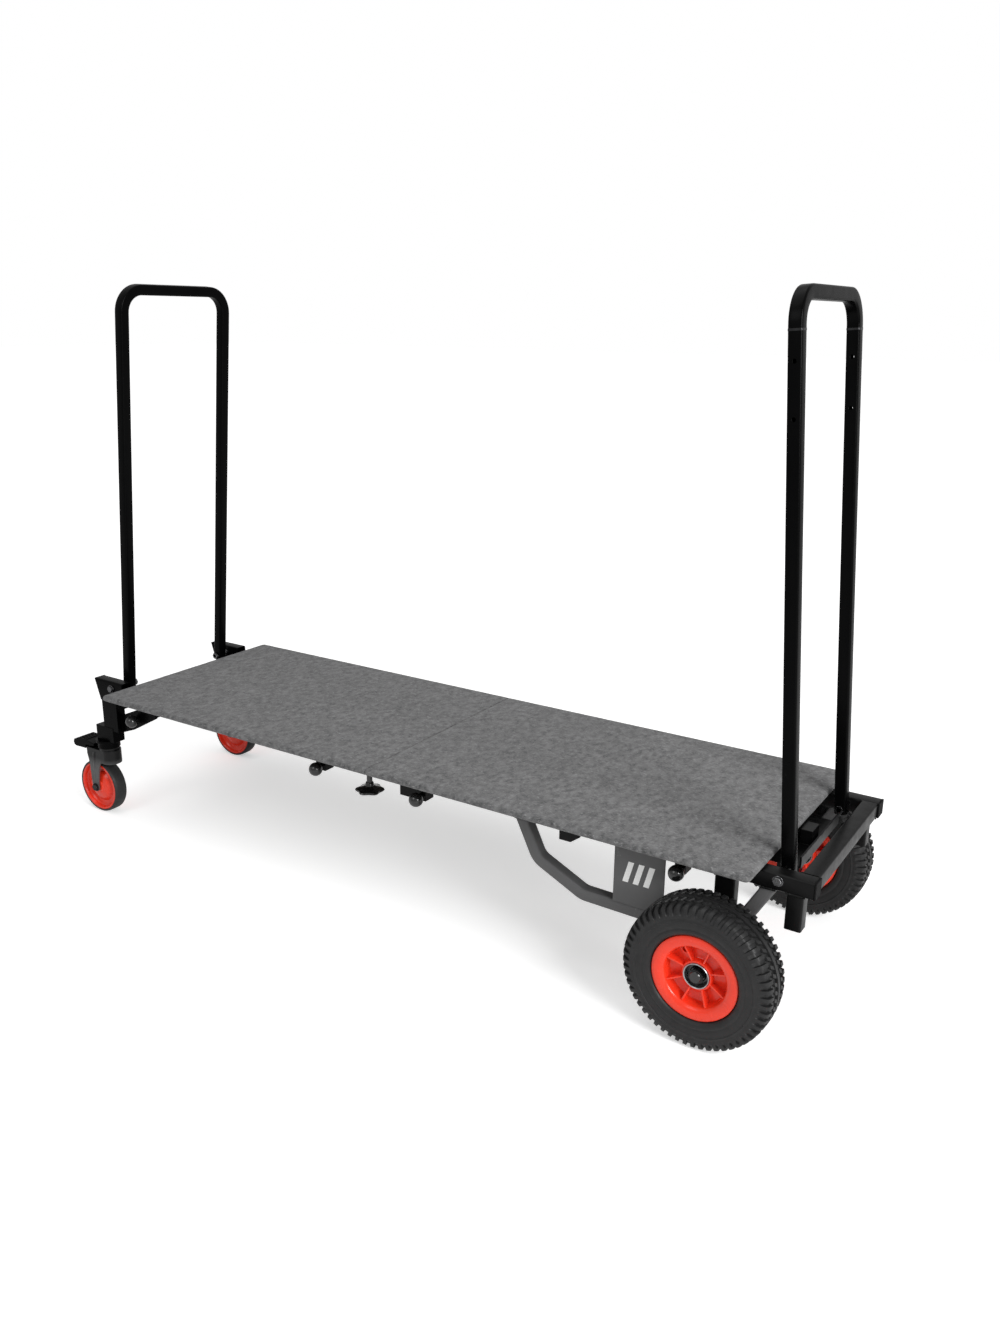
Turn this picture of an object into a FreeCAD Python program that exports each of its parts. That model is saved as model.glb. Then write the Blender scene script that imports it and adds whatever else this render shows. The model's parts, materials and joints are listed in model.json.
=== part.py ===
"""Convertible hand truck standing as a four-wheeled platform cart, in millimetres.

Two steel frames telescope into each other. The rear frame carries two big wheels on one
axle and the rear half of a carpeted deck; the front frame carries two braked swivel
casters. A U-shaped handle is pivoted at each end, and the deck's front half folds back.
X runs along the deck with the big wheels at +X, Y across it, Z up from the floor.
"""
import FreeCAD, Part
import math
import os
import re

Vector = FreeCAD.Vector
Rotation = FreeCAD.Rotation
Placement = FreeCAD.Placement
ALONG_X, ALONG_Y, ALONG_Z = Vector(1, 0, 0), Vector(0, 1, 0), Vector(0, 0, 1)
SIDES = (("left", -1), ("right", 1))

doc = FreeCAD.newDocument("HandTruck")
sheet = doc.addObject("Spreadsheet::Sheet", "Sizes")

# Driving dimensions. Places along X are measured from the deck's middle seam.
SIZES = {
    "seam_x": 25.5,
    "deck_half": 660, "deck_half_width": 222, "deck_top": 270, "deck_thick": 12, "seam_gap": 0.75,
    "rail": 25, "rail_wall": 2, "rail_outer": 169, "rail_top": 258,
    "rear_rail_from": -160, "rear_rail_to": 732, "plug_thick": 3,
    "inner_tube": 20, "inner_wall": 1.5, "front_rail_from": -714, "front_rail_to": 250,
    "sleeve_from": -743, "sleeve_to": -664, "sleeve_top": 277, "sleeve_wall": 2.5, "sleeve_rake": 14,
    "handle_tube": 19, "handle_wall": 1.5, "handle_y": 123, "handle_bend": 40,
    "front_top": 1022, "front_pivot_x": -696, "front_pivot_z": 262, "front_lean": 5.8,
    "rear_top": 1014, "rear_pivot_x": 682, "rear_pivot_z": 248, "rear_lean": 4.2,
    "bolt_r": 4, "bolt_head_r": 8,
    "run_gap": 0.05, "side_gap": 0.4,
    "wheel_x": 603.5, "wheel_y": 223, "tyre_r": 111.5, "tyre_half": 35, "rim_r": 64.5, "rim_half": 30,
    "hub_r": 23, "bearing_r": 19.5, "bearing_width": 11, "axle_r": 7.5, "axle_half": 247,
    "under_tube": 20, "under_depth": 20, "under_wall": 1.5, "under_low": 131,
    "caster_x": -698, "caster_y": 185, "caster_trail": 29, "caster_r": 55, "caster_half": 14.5,
    "caster_rim_r": 50, "caster_axle_r": 5, "fork_plate": 3, "fork_gap": 16.8,
    "crown_z": 136, "plate_z": 157, "kingpin_r": 7, "stub_bottom": 179,
    "plunger_r": 4, "knob_r": 12, "knob_y": 185, "clamp_x": -44, "clamp_disc_z": 196,
}
for row, (alias, value) in enumerate(SIZES.items(), start=1):
    sheet.set(f"A{row}", alias)
    sheet.set(f"B{row}", str(value))
    sheet.setAlias(f"B{row}", alias)
doc.recompute()

nodes = {}
shift = float(SIZES["seam_x"])


def size(alias):
    """The value of one cell, for shapes that the code works out itself."""
    return float(sheet.get(alias))


def cells(text):
    """An expression with each driving dimension's name turned into its cell."""
    def in_sheet(word):
        return ("Sizes." if word.group() in SIZES else "") + word.group()
    return re.sub(r"[a-z]\w*", in_sheet, str(text))


def bind(obj, **sizes):
    """Bind an object's properties, or x, y and z of its place, to expressions."""
    for name, text in sizes.items():
        path = f"Placement.Base.{name}" if name in ("x", "y", "z") else name
        obj.setExpression(path, cells(text))
    return obj


def keep(obj, label):
    """Make an object a sub-part: its label names its node and its file."""
    obj.Label = label
    nodes[label] = obj
    return obj


def box(name, x, y, z):
    """A box between pairs of expressions; x is measured from the seam."""
    solid = doc.addObject("Part::Box", name)
    spans = {"Length": x, "Width": y, "Height": z}
    bind(solid, **{prop: f"({hi}) - ({lo})" for prop, (lo, hi) in spans.items()})
    return bind(solid, x=f"seam_x + ({x[0]})", y=y[0], z=z[0])


def rod(name, radius, length, x, y, z, axis=ALONG_Y):
    """A cylinder that starts at a point and runs along an axis."""
    solid = doc.addObject("Part::Cylinder", name)
    solid.Placement = Placement(Vector(), Rotation(ALONG_Z, axis))
    bind(solid, Radius=radius, Height=length)
    return bind(solid, x=f"seam_x + ({x})", y=y, z=z)


def span(sign, inner, outer):
    """The Y range of something between two distances from the middle plane."""
    return (f"-({outer})", f"-({inner})") if sign < 0 else (inner, outer)


def rod_y(name, sign, radius, inner, outer, x, z):
    """A cylinder across the cart between two distances from the middle plane."""
    low = span(sign, inner, outer)[0]
    return rod(name, radius, f"({outer}) - ({inner})", x, low, z)


def cut(name, base, tool):
    result = doc.addObject("Part::Cut", name)
    result.Base, result.Tool = base, tool
    return result


def join(name, *shapes):
    result = doc.addObject("Part::MultiFuse", name)
    result.Shapes = list(shapes)
    return result


def group(name, *shapes):
    """Identical separate pieces that share one node."""
    result = doc.addObject("Part::Compound", name)
    result.Links = list(shapes)
    return result


def feature(name, shape):
    result = doc.addObject("Part::Feature", name)
    result.Shape = shape
    return result


def hollow_box(name, x, y, z, wall, open_axis):
    """A rectangular tube, open at both ends along one axis."""
    outer = box(name + "_outer", x, y, z)
    inset = [(f"({lo}) + {wall}", f"({hi}) - {wall}") for lo, hi in (x, y, z)]
    inset[open_axis] = (f"({(x, y, z)[open_axis][0]}) - 1", f"({(x, y, z)[open_axis][1]}) + 1")
    return cut(name, outer, box(name + "_bore", *inset))


def origin_plane(body, role):
    return next(f for f in body.Origin.OriginFeatures if f.Role == role)


def sketch_in(body, role, name, outline):
    """A closed sketch of straight sides in one of the body's own planes."""
    sketch = body.newObject("Sketcher::SketchObject", name)
    sketch.AttachmentSupport = (origin_plane(body, role), [""])
    sketch.MapMode = "FlatFace"
    corners = [Vector(a, b, 0) for a, b in outline]
    for start, end in zip(corners, corners[1:] + corners[:1]):
        sketch.addGeometry(Part.LineSegment(start, end), False)
    return sketch


def turned(name, outline):
    """A ring or disc turned about the body's own Z axis from an outline of (radius, height)."""
    body = doc.addObject("PartDesign::Body", name)
    sketch = sketch_in(body, "XZ_Plane", name + "_outline", outline)
    turn = body.newObject("PartDesign::Revolution", name + "_turn")
    turn.Profile = sketch
    turn.ReferenceAxis = (sketch, ["V_Axis"])
    turn.Angle = 360
    body.Tip = turn
    return body


def pressed(name, outline, thick, role="XZ_Plane"):
    """A flat plate padded from an outline in one of the body's own planes."""
    body = doc.addObject("PartDesign::Body", name)
    sketch = sketch_in(body, role, name + "_outline", outline)
    pad = body.newObject("PartDesign::Pad", name + "_pad")
    pad.Profile = sketch
    pad.setExpression("Length", cells(thick))
    pad.Midplane = True
    body.Tip = pad
    return body


def bent_path(points, radius):
    """Straight runs joined by tangent arcs, as one wire."""
    edges, start = [], points[0]
    for before, corner, after in zip(points, points[1:], points[2:]):
        back, ahead = (before - corner).normalize(), (after - corner).normalize()
        half_turn = (math.pi - back.getAngle(ahead)) / 2
        reach = radius * math.tan(half_turn)
        enter, leave = corner + back * reach, corner + ahead * reach
        to_centre = (back + ahead).normalize()
        middle = corner + to_centre * (radius / math.cos(half_turn) - radius)
        edges += [Part.LineSegment(start, enter).toShape(), Part.Arc(enter, middle, leave).toShape()]
        start = leave
    edges.append(Part.LineSegment(start, points[-1]).toShape())
    return Part.Wire(edges)


def rectangle(centre, across, width, up, height):
    """A rectangular wire about a point, between two perpendicular directions."""
    a, b = across * (width / 2), up * (height / 2)
    return Part.makePolygon([centre - a - b, centre + a - b, centre + a + b, centre - a + b, centre - a - b])


def bent_bar(points, radius, flat, flat_width, in_plane_width):
    """A solid rectangular bar along a bent path; flat is the normal of the path's plane."""
    heading = (points[1] - points[0]).normalize()
    profile = rectangle(points[0], flat, flat_width, flat.cross(heading), in_plane_width)
    return bent_path(points, radius).makePipeShell([profile], True, False)


def bent_tube(points, radius, flat, flat_width, in_plane_width, wall):
    """A hollow rectangular tube along a bent path."""
    skin = bent_bar(points, radius, flat, flat_width, in_plane_width)
    return skin.cut(bent_bar(points, radius, flat, flat_width - 2 * wall, in_plane_width - 2 * wall))


# ---- rear frame: rails, end tube, underframe -----------------------------------------------

rail_z = ("rail_top - rail", "rail_top")
rail_mid_z = "rail_top - rail / 2"
rail_mid_y = "rail_outer - rail / 2"
inner_y = ("rail_outer - rail / 2 - inner_tube / 2", "rail_outer - rail / 2 + inner_tube / 2")
inner_z = ("rail_top - rail / 2 - inner_tube / 2", "rail_top - rail / 2 + inner_tube / 2")


def rear_rails():
    for side, sign in SIDES:
        y = span(sign, "rail_outer - rail", "rail_outer")
        tube = hollow_box(f"RearRail_{side}", ("rear_rail_from", "rear_rail_to"), y, rail_z, "rail_wall", 0)
        bolt_hole = rod_y(f"RearRailHole_{side}", sign, "bolt_r", "rail_outer - rail - 1", "rail_outer + 1",
                          "rear_pivot_x", "rear_pivot_z")
        keep(cut(f"RearRailDrilled_{side}", tube, bolt_hole), f"rear_rail_{side}")


def end_plugs(label, names_x, inside_from, outer_y, outer_z, wall):
    """Plastic plugs that close the tube ends at one end of the cart."""
    plugs = []
    for side, sign in SIDES:
        cap = box(f"{label}_cap_{side}", names_x, span(sign, *outer_y), outer_z)
        stem_y = span(sign, f"{outer_y[0]} + {wall}", f"{outer_y[1]} - {wall}")
        stem_z = (f"{outer_z[0]} + {wall}", f"{outer_z[1]} - {wall}")
        stem = box(f"{label}_stem_{side}", inside_from, stem_y, stem_z)
        plugs.append(join(f"{label}_{side}", cap, stem))
    keep(group(label + "_pair", *plugs), label)


def rear_cross_members():
    between = ("-(rail_outer - rail)", "rail_outer - rail")
    keep(hollow_box("EndTube", ("rear_rail_to - rail", "rear_rail_to"), between, rail_z, "rail_wall", 1),
         "rear_end_tube")
    floor = box("CatchFloor", ("600", "rear_pivot_x + 4"), ("-90", "90"), ("rail_top - 24", "rail_top - 21"))
    lip = box("CatchLip", ("rear_pivot_x + 4", "rear_pivot_x + 7"), ("-90", "90"),
              ("rail_top - 24", "rail_top - 6"))
    catch = box("Catch", ("rear_pivot_x - 20", "rear_pivot_x - 2"), ("-16", "16"),
                ("rail_top - 21", "rail_top + 2"))
    keep(join("CatchPlate", floor, lip, catch), "rear_catch_plate")
    keep(hollow_box("MidTube", ("330", "355"), between, rail_z, "rail_wall", 1), "rear_cross_tube")
    keep(hollow_box("DeckTube", ("575", "600"), between, rail_z, "rail_wall", 1), "rear_deck_tube")


UNDER_POINTS = ((268, 236), (299, 172), (380, 134), (604, 131), (624, 152), (672, 236))
UNDER_BEND = 30


def under_corners(sign):
    """The bent tube's centre line on one side, corner by corner."""
    y = sign * (size("rail_outer") - size("under_depth") / 2)
    return [Vector(shift + x, y, z) for x, z in UNDER_POINTS]


def underframes():
    depth, width = size("under_depth"), size("under_tube")
    rail_under = size("rail_top") - size("rail")
    for side, sign in SIDES:
        corners = under_corners(sign)
        tube = bent_tube(corners, UNDER_BEND, ALONG_Y, depth, width, size("under_wall"))
        above_rail_bottom = Part.makeBox(900, 2 * depth, 60, Vector(shift, corners[0].y - depth, rail_under))
        keep(feature(f"Underframe_{side}", tube.cut(above_rail_bottom)), f"underframe_{side}")


def wheel_end_uprights():
    posts, stubs, plates, clips, axle_blocks = [], [], [], [], []
    for side, sign in SIDES:
        tube_y = span(sign, "rail_outer - under_depth", "rail_outer")
        rail_under = "rail_top - rail"
        post = hollow_box(f"Post_{side}", ("wheel_x - 12", "wheel_x + 18"), tube_y,
                          ("under_low + under_tube / 2 - 2", rail_under), "under_wall", 2)
        bar = bent_bar(under_corners(sign), UNDER_BEND, ALONG_Y, size("under_depth"), size("under_tube"))
        posts.append(cut(f"PostFitted_{side}", post, feature(f"UnderBar_{side}", bar)))
        stub_y = span(sign, "rail_outer - rail + 1", "rail_outer - 1")
        stubs.append(hollow_box(f"Stub_{side}", ("rear_rail_to - 37", "rear_rail_to - 13"), stub_y,
                                ("stub_bottom", rail_under), "under_wall", 2))
        plates.append(box(f"Plate_{side}", ("435", "517"), span(sign, "rail_outer", "rail_outer + 3"),
                          ("under_low + under_tube / 2 + 2", "rail_top - 6")))
        axle_y = span(sign, "rail_outer - under_depth", "rail_outer")
        block = box(f"AxleBlock_{side}", ("wheel_x - 24", "wheel_x + 14"), axle_y,
                    ("tyre_r - 14", "under_low - under_tube / 2"))
        bore = rod_y(f"AxleBore_{side}", sign, "axle_r", "rail_outer - under_depth - 1", "rail_outer + 1",
                     "wheel_x", "tyre_r")
        axle_blocks.append(cut(f"AxleBlockBored_{side}", block, bore))
        clip = pressed(f"Clip_{side}", ((-18, 20), (-18, 0), (2, 0), (18, 12), (18, 20)), "4")
        bind(clip, x="seam_x + 353", y=f"{sign} * (rail_outer - 8)", z="rail_top - rail - 20")
        clips.append(clip)
    keep(group("Posts", *posts), "axle_posts")
    keep(group("Stubs", *stubs), "stub_legs")
    keep(group("Plates", *plates), "side_plates")
    keep(group("AxleBlocks", *axle_blocks), "axle_blocks")
    keep(group("Clips", *clips), "deck_clips")


def axle():
    keep(rod("Axle", "axle_r", "2 * axle_half", "wheel_x", "-axle_half", "tyre_r"), "axle")
    sleeves = []
    for side, sign in SIDES:
        inner, outer = "rail_outer", "wheel_y - rim_half - side_gap"
        tube = rod_y(f"SpacerSkin_{side}", sign, "axle_r + 3.5", inner, outer, "wheel_x", "tyre_r")
        bore = rod_y(f"SpacerBore_{side}", sign, "axle_r", f"{inner} - 1", f"{outer} + 1",
                     "wheel_x", "tyre_r")
        sleeves.append(cut(f"Spacer_{side}", tube, bore))
    keep(group("Spacers", *sleeves), "axle_spacers")
    rings = []
    for side, sign in SIDES:
        inner, outer = "wheel_y + rim_half - 7.6", "wheel_y + rim_half - 5.6"
        ring = rod_y(f"RingSkin_{side}", sign, "axle_r + 3", inner, outer, "wheel_x", "tyre_r")
        bore = rod_y(f"RingBore_{side}", sign, "axle_r", f"{inner} - 1", f"{outer} + 1", "wheel_x", "tyre_r")
        rings.append(cut(f"Ring_{side}", ring, bore))
    keep(group("Rings", *rings), "axle_rings")


# ---- big wheels ----------------------------------------------------------------------------

def big_wheels():
    tyre, half = size("tyre_r"), size("tyre_half")
    rim, rim_half, hub = size("rim_r"), size("rim_half"), size("hub_r")
    bearing, width = size("bearing_r"), size("bearing_width")
    shoulder = ((tyre - 16, half), (tyre - 7, half - 2.5), (tyre - 3, half - 6), (tyre, half - 20))
    tyre_outline = ((rim, -rim_half), (rim + 4, -half + 1), *((r, -y) for r, y in shoulder),
                    *shoulder[::-1], (rim + 4, half - 1), (rim, rim_half))
    web, face = 3, rim_half
    well, deep, race_low = rim - 19.5, face - 8, face - 8 - width
    rim_outline = ((bearing, -face), (hub, -face), (hub, -web), (well, -web), (well, -face), (rim, -face),
                   (rim, face), (well, face), (well, web), (hub, web), (hub, deep), (bearing, deep),
                   (bearing, race_low), (bearing - 4, race_low), (bearing - 4, -face + width),
                   (bearing, -face + width))
    rib_count, rib_thick = 8, 3
    for side, sign in SIDES:
        place = Placement(Vector(shift + size("wheel_x"), sign * size("wheel_y"), tyre),
                          Rotation(ALONG_X, -90 * sign))
        rubber = turned(f"Tyre_{side}", tyre_outline)
        rubber.Placement = place
        keep(rubber, f"tyre_{side}")
        core = turned(f"Rim_{side}", rim_outline)
        core.Placement = place
        ribs = []
        for index in range(rib_count):
            corner = Vector(hub - 1, -rib_thick / 2, -face + 4)
            rib = Part.makeBox(rim - hub - 4, rib_thick, face + 14, corner)
            rib.rotate(Vector(), ALONG_Z, 360 / rib_count * (index + 0.5))
            ribs.append(rib)
        webbing = feature(f"Ribs_{side}", ribs[0].multiFuse(ribs[1:]))
        webbing.Placement = place
        keep(join(f"RimRibbed_{side}", core, webbing), f"rim_{side}")
        rings = []
        bore = size("axle_r") + size("run_gap")
        for low in (-face, race_low):
            ring = Part.makeCylinder(bearing, width, Vector(0, 0, low))
            rings.append(ring.cut(Part.makeCylinder(bore, width, Vector(0, 0, low))))
        bearings = feature(f"Bearings_{side}", Part.makeCompound(rings))
        bearings.Placement = place
        keep(bearings, f"wheel_bearings_{side}")


# ---- handles -------------------------------------------------------------------------------

def handle(end, lean_sign, hole_drops):
    """A U of square tube, upright about its pivot line, then leaned inward."""
    width, wall, reach = size("handle_tube"), size("handle_wall"), size("handle_y")
    lean = size(f"{end}_lean")
    rise = (size(f"{end}_top") - size(f"{end}_pivot_z")) / math.cos(math.radians(lean))
    foot = -width / 2
    corners = ((-reach, foot), (-reach, rise), (reach, rise), (reach, foot))
    points = [Vector(0, y, z) for y, z in corners]
    loop = bent_tube(points, size("handle_bend"), ALONG_X, width, width, wall)
    bolt_bore = size("bolt_r") + size("run_gap")
    for centre_z, radius in [(0, bolt_bore)] + [(rise - drop, 3) for drop in hole_drops]:
        loop = loop.cut(Part.makeCylinder(radius, 400, Vector(0, -200, centre_z), ALONG_Y))
    part = feature(f"Handle_{end}", loop)
    part.Placement = Placement(Vector(shift + size(f"{end}_pivot_x"), 0, size(f"{end}_pivot_z")),
                               Rotation(ALONG_Y, lean_sign * lean))
    keep(part, f"{end}_handle_tube")


def pivot_bolts(end):
    """Each bolt runs from a head outside the rail through a spacer into the handle's leg."""
    bolts = []
    leg_inner, leg_outer = "handle_y - handle_tube / 2", "handle_y + handle_tube / 2"
    for side, sign in SIDES:
        at = (f"{end}_pivot_x", f"{end}_pivot_z")
        shank = rod_y(f"Shank_{end}_{side}", sign, "bolt_r", f"{leg_inner} - 6", "rail_outer + 1", *at)
        head = rod_y(f"Head_{end}_{side}", sign, "bolt_head_r", "rail_outer", "rail_outer + 5", *at)
        spacer = rod_y(f"Collar_{end}_{side}", sign, "bolt_head_r", f"{leg_outer} + side_gap",
                       "rail_outer - rail", *at)
        nut = rod_y(f"Nut_{end}_{side}", sign, "bolt_head_r - 1", f"{leg_inner} - 6",
                    f"{leg_inner} - side_gap", *at)
        bolts.append(join(f"Bolt_{end}_{side}", shank, head, spacer, nut))
    keep(group(f"Bolts_{end}", *bolts), f"{end}_pivot_bolts")


# ---- front frame ---------------------------------------------------------------------------

def front_rails():
    for side, sign in SIDES:
        tube = hollow_box(f"FrontRail_{side}", ("front_rail_from", "front_rail_to"), span(sign, *inner_y),
                          inner_z, "inner_wall", 0)
        keep(tube, f"front_rail_{side}")
    between = (f"-({inner_y[0]})", inner_y[0])
    keep(hollow_box("FrontTube", ("-deck_half + 8", "-deck_half + 28"), between,
                    (inner_z[0], "rail_top - 0.3"), "inner_wall", 1), "front_cross_tube")


def front_sleeves():
    """Tall end sleeves hold the front rails and, above them, the handle's pivot bolts."""
    sleeves = []
    for side, sign in SIDES:
        skin = box(f"Sleeve_{side}", ("sleeve_from", "sleeve_to"),
                   span(sign, "rail_outer - rail", "rail_outer"), ("rail_top - rail", "sleeve_top"))
        bore = box(f"SleeveBore_{side}", ("sleeve_from - 1", "sleeve_to + 1"), span(sign, *inner_y),
                   (inner_z[0], "sleeve_top - sleeve_wall"))
        bolt_hole = rod_y(f"SleeveHole_{side}", sign, "bolt_r", "rail_outer - rail - 1", "rail_outer + 1",
                          "front_pivot_x", "front_pivot_z")
        low, high = size("rail_top") - size("rail") - 1, size("sleeve_top") + 1
        before_end = size("sleeve_from") - 5
        waste = pressed(f"SleeveWaste_{side}", ((before_end, low), (raked(low), low), (raked(high), high),
                                                (before_end, high)), "rail + 2")
        bind(waste, x="seam_x", y=f"{sign} * ({rail_mid_y})")
        tube = cut(f"SleeveOpen_{side}", skin, bore)
        for index, tool in enumerate((bolt_hole, waste)):
            tube = cut(f"SleeveCut{index}_{side}", tube, tool)
        sleeves.append(tube)
    keep(group("Sleeves", *sleeves), "front_sleeves")


def raked(z):
    """Where a sleeve's slanting end lies at a height, measured from the seam."""
    low, high = size("rail_top") - size("rail"), size("sleeve_top")
    return size("sleeve_from") + size("sleeve_rake") * (high - z) / (high - low)


def sleeve_plugs():
    """Plastic plugs whose caps follow the sleeves' slanting ends."""
    plugs, thick, wall = [], size("plug_thick"), size("sleeve_wall")
    low, high = size("rail_top") - size("rail"), size("sleeve_top")
    inner_end = size("front_rail_from") - 1
    for side, sign in SIDES:
        cap = pressed(f"SleeveCap_{side}", ((raked(low) - thick, low), (raked(low), low), (raked(high), high),
                                            (raked(high) - thick, high)), "rail")
        floor, roof = low + wall, high - wall
        stem = pressed(f"SleeveStem_{side}", ((raked(floor) - 1, floor), (inner_end, floor),
                                              (inner_end, roof), (raked(roof) - 1, roof)),
                       "rail - 2 * sleeve_wall")
        for piece in (cap, stem):
            bind(piece, x="seam_x", y=f"{sign} * ({rail_mid_y})")
        plugs.append(join(f"SleevePlug_{side}", cap, stem))
    keep(group("SleevePlugs", *plugs), "front_sleeve_plugs")


ARM_GUSSET = ((24, 8), (30, 16), (84, 36), (151, 72), (151, 86), (112, 86), (56, 62), (24, 40))
CASTER_LOCK_X, CASTER_LOCK_Z = -601, 222


def caster_arms():
    """An outrigger and a post hold each caster outboard of its rail, braced by a gusset."""
    plate_top = "plate_z + 5"
    for side, sign in SIDES:
        post_x = ("caster_x + 8", "caster_x + 50")
        outrigger = box(f"Outrigger_{side}", post_x, span(sign, "rail_outer", "caster_y + 13"),
                        ("rail_top - rail - 1", "rail_top - 6"))
        post = box(f"CasterPost_{side}", post_x, span(sign, "caster_y - 7", "caster_y + 13"),
                   ("plate_z + 30", "rail_top - 6"))
        foot = box(f"CasterFoot_{side}", ("caster_x - 16", "caster_x + 34"),
                   span(sign, "caster_y - 13", "caster_y + 14"), (plate_top, "plate_z + 36"))
        gusset = pressed(f"Gusset_{side}", ARM_GUSSET, "5")
        bind(gusset, x="seam_x + caster_x", y=f"{sign} * caster_y", z=plate_top)
        tab = box(f"GussetTab_{side}", ("caster_x + 112", "caster_x + 151"),
                  span(sign, inner_y[1], "caster_y + 2.5"), (inner_z[0], "plate_z + 91"))
        whole = join(f"ArmRaw_{side}", outrigger, post, foot, gusset, tab)
        hole = rod_y(f"ArmHole_{side}", sign, "7", "caster_y - 3", "caster_y + 3",
                     CASTER_LOCK_X, CASTER_LOCK_Z)
        keep(cut(f"Arm_{side}", whole, hole), f"caster_arm_{side}")


def caster_mounts():
    plates, pins = [], []
    for side, sign in SIDES:
        at_y = f"{sign} * caster_y"
        plate = rod(f"TopPlate_{side}", "25", "5", "caster_x", at_y, "plate_z", ALONG_Z)
        race = rod(f"Race_{side}", "22", "plate_z - crown_z - 9.2", "caster_x", at_y, "crown_z + 9.2",
                   ALONG_Z)
        plates.append(join(f"PlateRace_{side}", plate, race))
        shank = rod(f"KingpinShank_{side}", "kingpin_r", "13.8", "caster_x", at_y, "crown_z - 4.6", ALONG_Z)
        rivet = rod(f"KingpinHead_{side}", "kingpin_r + 3", "4", "caster_x", at_y, "crown_z - 4.6", ALONG_Z)
        pins.append(join(f"Kingpin_{side}", shank, rivet))
    keep(group("TopPlates", *plates), "caster_plates")
    keep(group("Kingpins", *pins), "caster_kingpins")


def casters():
    """Swivel forks, wheels, axle bolts and brake pedals; each trails outward from its kingpin."""
    trail, radius, half = size("caster_trail"), size("caster_r"), size("caster_half")
    gap, plate, axle_r = size("fork_gap"), size("fork_plate"), size("caster_axle_r")
    crown, rim, run = size("crown_z"), size("caster_rim_r"), size("run_gap")
    hub_r, round_x = 13, 4
    tyre_outline = ((rim, -half + 1), (radius - 4, -half), (radius, -half + 5), (radius, half - 5),
                    (radius - 4, half), (rim, half - 1))
    well, web = rim - 5, 4
    rim_outline = ((axle_r + run, -half - 1), (hub_r, -half - 1), (hub_r, -web), (well, -web),
                   (well, -half + 1), (rim, -half + 1), (rim, half - 1), (well, half - 1), (well, web),
                   (hub_r, web), (hub_r, half + 1), (axle_r + run, half + 1))
    for side, sign in SIDES:
        pin = Vector(shift + size("caster_x"), sign * size("caster_y"), 0)
        hub = pin + Vector(-trail, 0, radius)
        half_width = gap + plate
        boss = [(9 * math.cos(a) - trail, radius + 9 * math.sin(a))
                for a in (math.radians(step) for step in range(-15, -180, -15))]
        side_view = [(round_x, crown), (round_x, crown - 24), (-3, crown - 23), (-9, crown - 27),
                     (-14, crown - 36), (8.5 - trail, radius + 6)] + boss
        side_view += [(-9.5 - trail, radius + 6), (-42, crown - 26), (-46, crown - 10), (-46, crown)]
        cheeks = []
        for low in (-half_width, gap):
            outline = [Vector(x, low, z) for x, z in side_view + side_view[:1]]
            cheeks.append(Part.Face(Part.makePolygon(outline)).extrude(Vector(0, plate, 0)))
        crown_plate = Part.makeBox(46 + round_x, 2 * half_width, 4, Vector(-46, -half_width, crown))
        nose = Vector(round_x, 0, crown - 24)
        skirt = Part.makeCylinder(half_width, 28, nose).cut(Part.makeCylinder(gap, 24, nose))
        skirt = skirt.cut(Part.makeBox(50, 100, 40, Vector(round_x - 50, -50, crown - 30)))
        race = Part.makeCylinder(20, 5, Vector(0, 0, crown + 4))
        fork = crown_plate.multiFuse(cheeks + [skirt, race])
        fork = fork.cut(Part.makeCylinder(size("kingpin_r") + run, 20, Vector(0, 0, crown - 5)))
        fork = fork.cut(Part.makeCylinder(axle_r, 80, Vector(-trail, -40, radius), ALONG_Y))
        part = feature(f"Fork_{side}", fork.removeSplitter())
        part.Placement = Placement(pin, Rotation())
        keep(part, f"caster_fork_{side}")
        wheel_place = Placement(hub, Rotation(ALONG_X, -90 * sign))
        for label, outline in (("tyre", tyre_outline), ("rim", rim_outline)):
            ring = turned(f"Caster_{label}_{side}", outline)
            ring.Placement = wheel_place
            keep(ring, f"caster_{label}_{side}")
        reach = gap + plate
        bolt = Part.makeCylinder(axle_r, 2 * reach + 6, Vector(0, -reach - 3, 0), ALONG_Y)
        heads = [Part.makeCylinder(8.5, 4.5, Vector(0, y, 0), ALONG_Y) for y in (-reach - 4.5, reach)]
        part = feature(f"CasterBolt_{side}", bolt.multiFuse(heads))
        part.Placement = Placement(hub, Rotation())
        keep(part, f"caster_bolt_{side}")
        brake_pedal(side, pin, crown)


def brake_pedal(side, pin, crown):
    """A pressed pedal whose tail sits over the tyre and whose tread points outward."""
    profile = ((-24, 9), (-24, 14), (-50, 18), (-72, 18), (-86, 12), (-88, 6), (-86, 0),
               (-80, -2), (-50, -1), (-49.5, 7.2), (-36, 7.2))
    outline = [Vector(x, -19, crown + z) for x, z in profile]
    pedal = Part.Face(Part.makePolygon(outline + outline[:1])).extrude(Vector(0, 38, 0))
    part = feature(f"Pedal_{side}", pedal)
    part.Placement = Placement(pin, Rotation())
    keep(part, f"brake_pedal_{side}")


# ---- deck ----------------------------------------------------------------------------------

def deck():
    """Two carpeted boards that meet at the middle seam."""
    corner = 8
    half, gap, side_y = size("deck_half"), size("seam_gap"), size("deck_half_width")
    for label, sign in (("deck_front", -1), ("deck_rear", 1)):
        near, far = sign * gap, sign * half
        inset = far - sign * corner
        outline = ((near, -side_y), (inset, -side_y), (far, -side_y + corner), (far, side_y - corner),
                   (inset, side_y), (near, side_y))
        board = pressed(label + "_board", outline, "deck_thick", "XY_Plane")
        keep(bind(board, x="seam_x", z="deck_top - deck_thick / 2"), label)


# ---- locks ---------------------------------------------------------------------------------

# Each plunger's place along X, its height, and how far its block reaches back and ahead.
PLUNGERS = {
    "slide_stop": (-141, 225, 14, 7),
    "slide_lock": (77, 222, 46, 7),
    "deck_lock": (540, 225, 10, 7),
}


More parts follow.
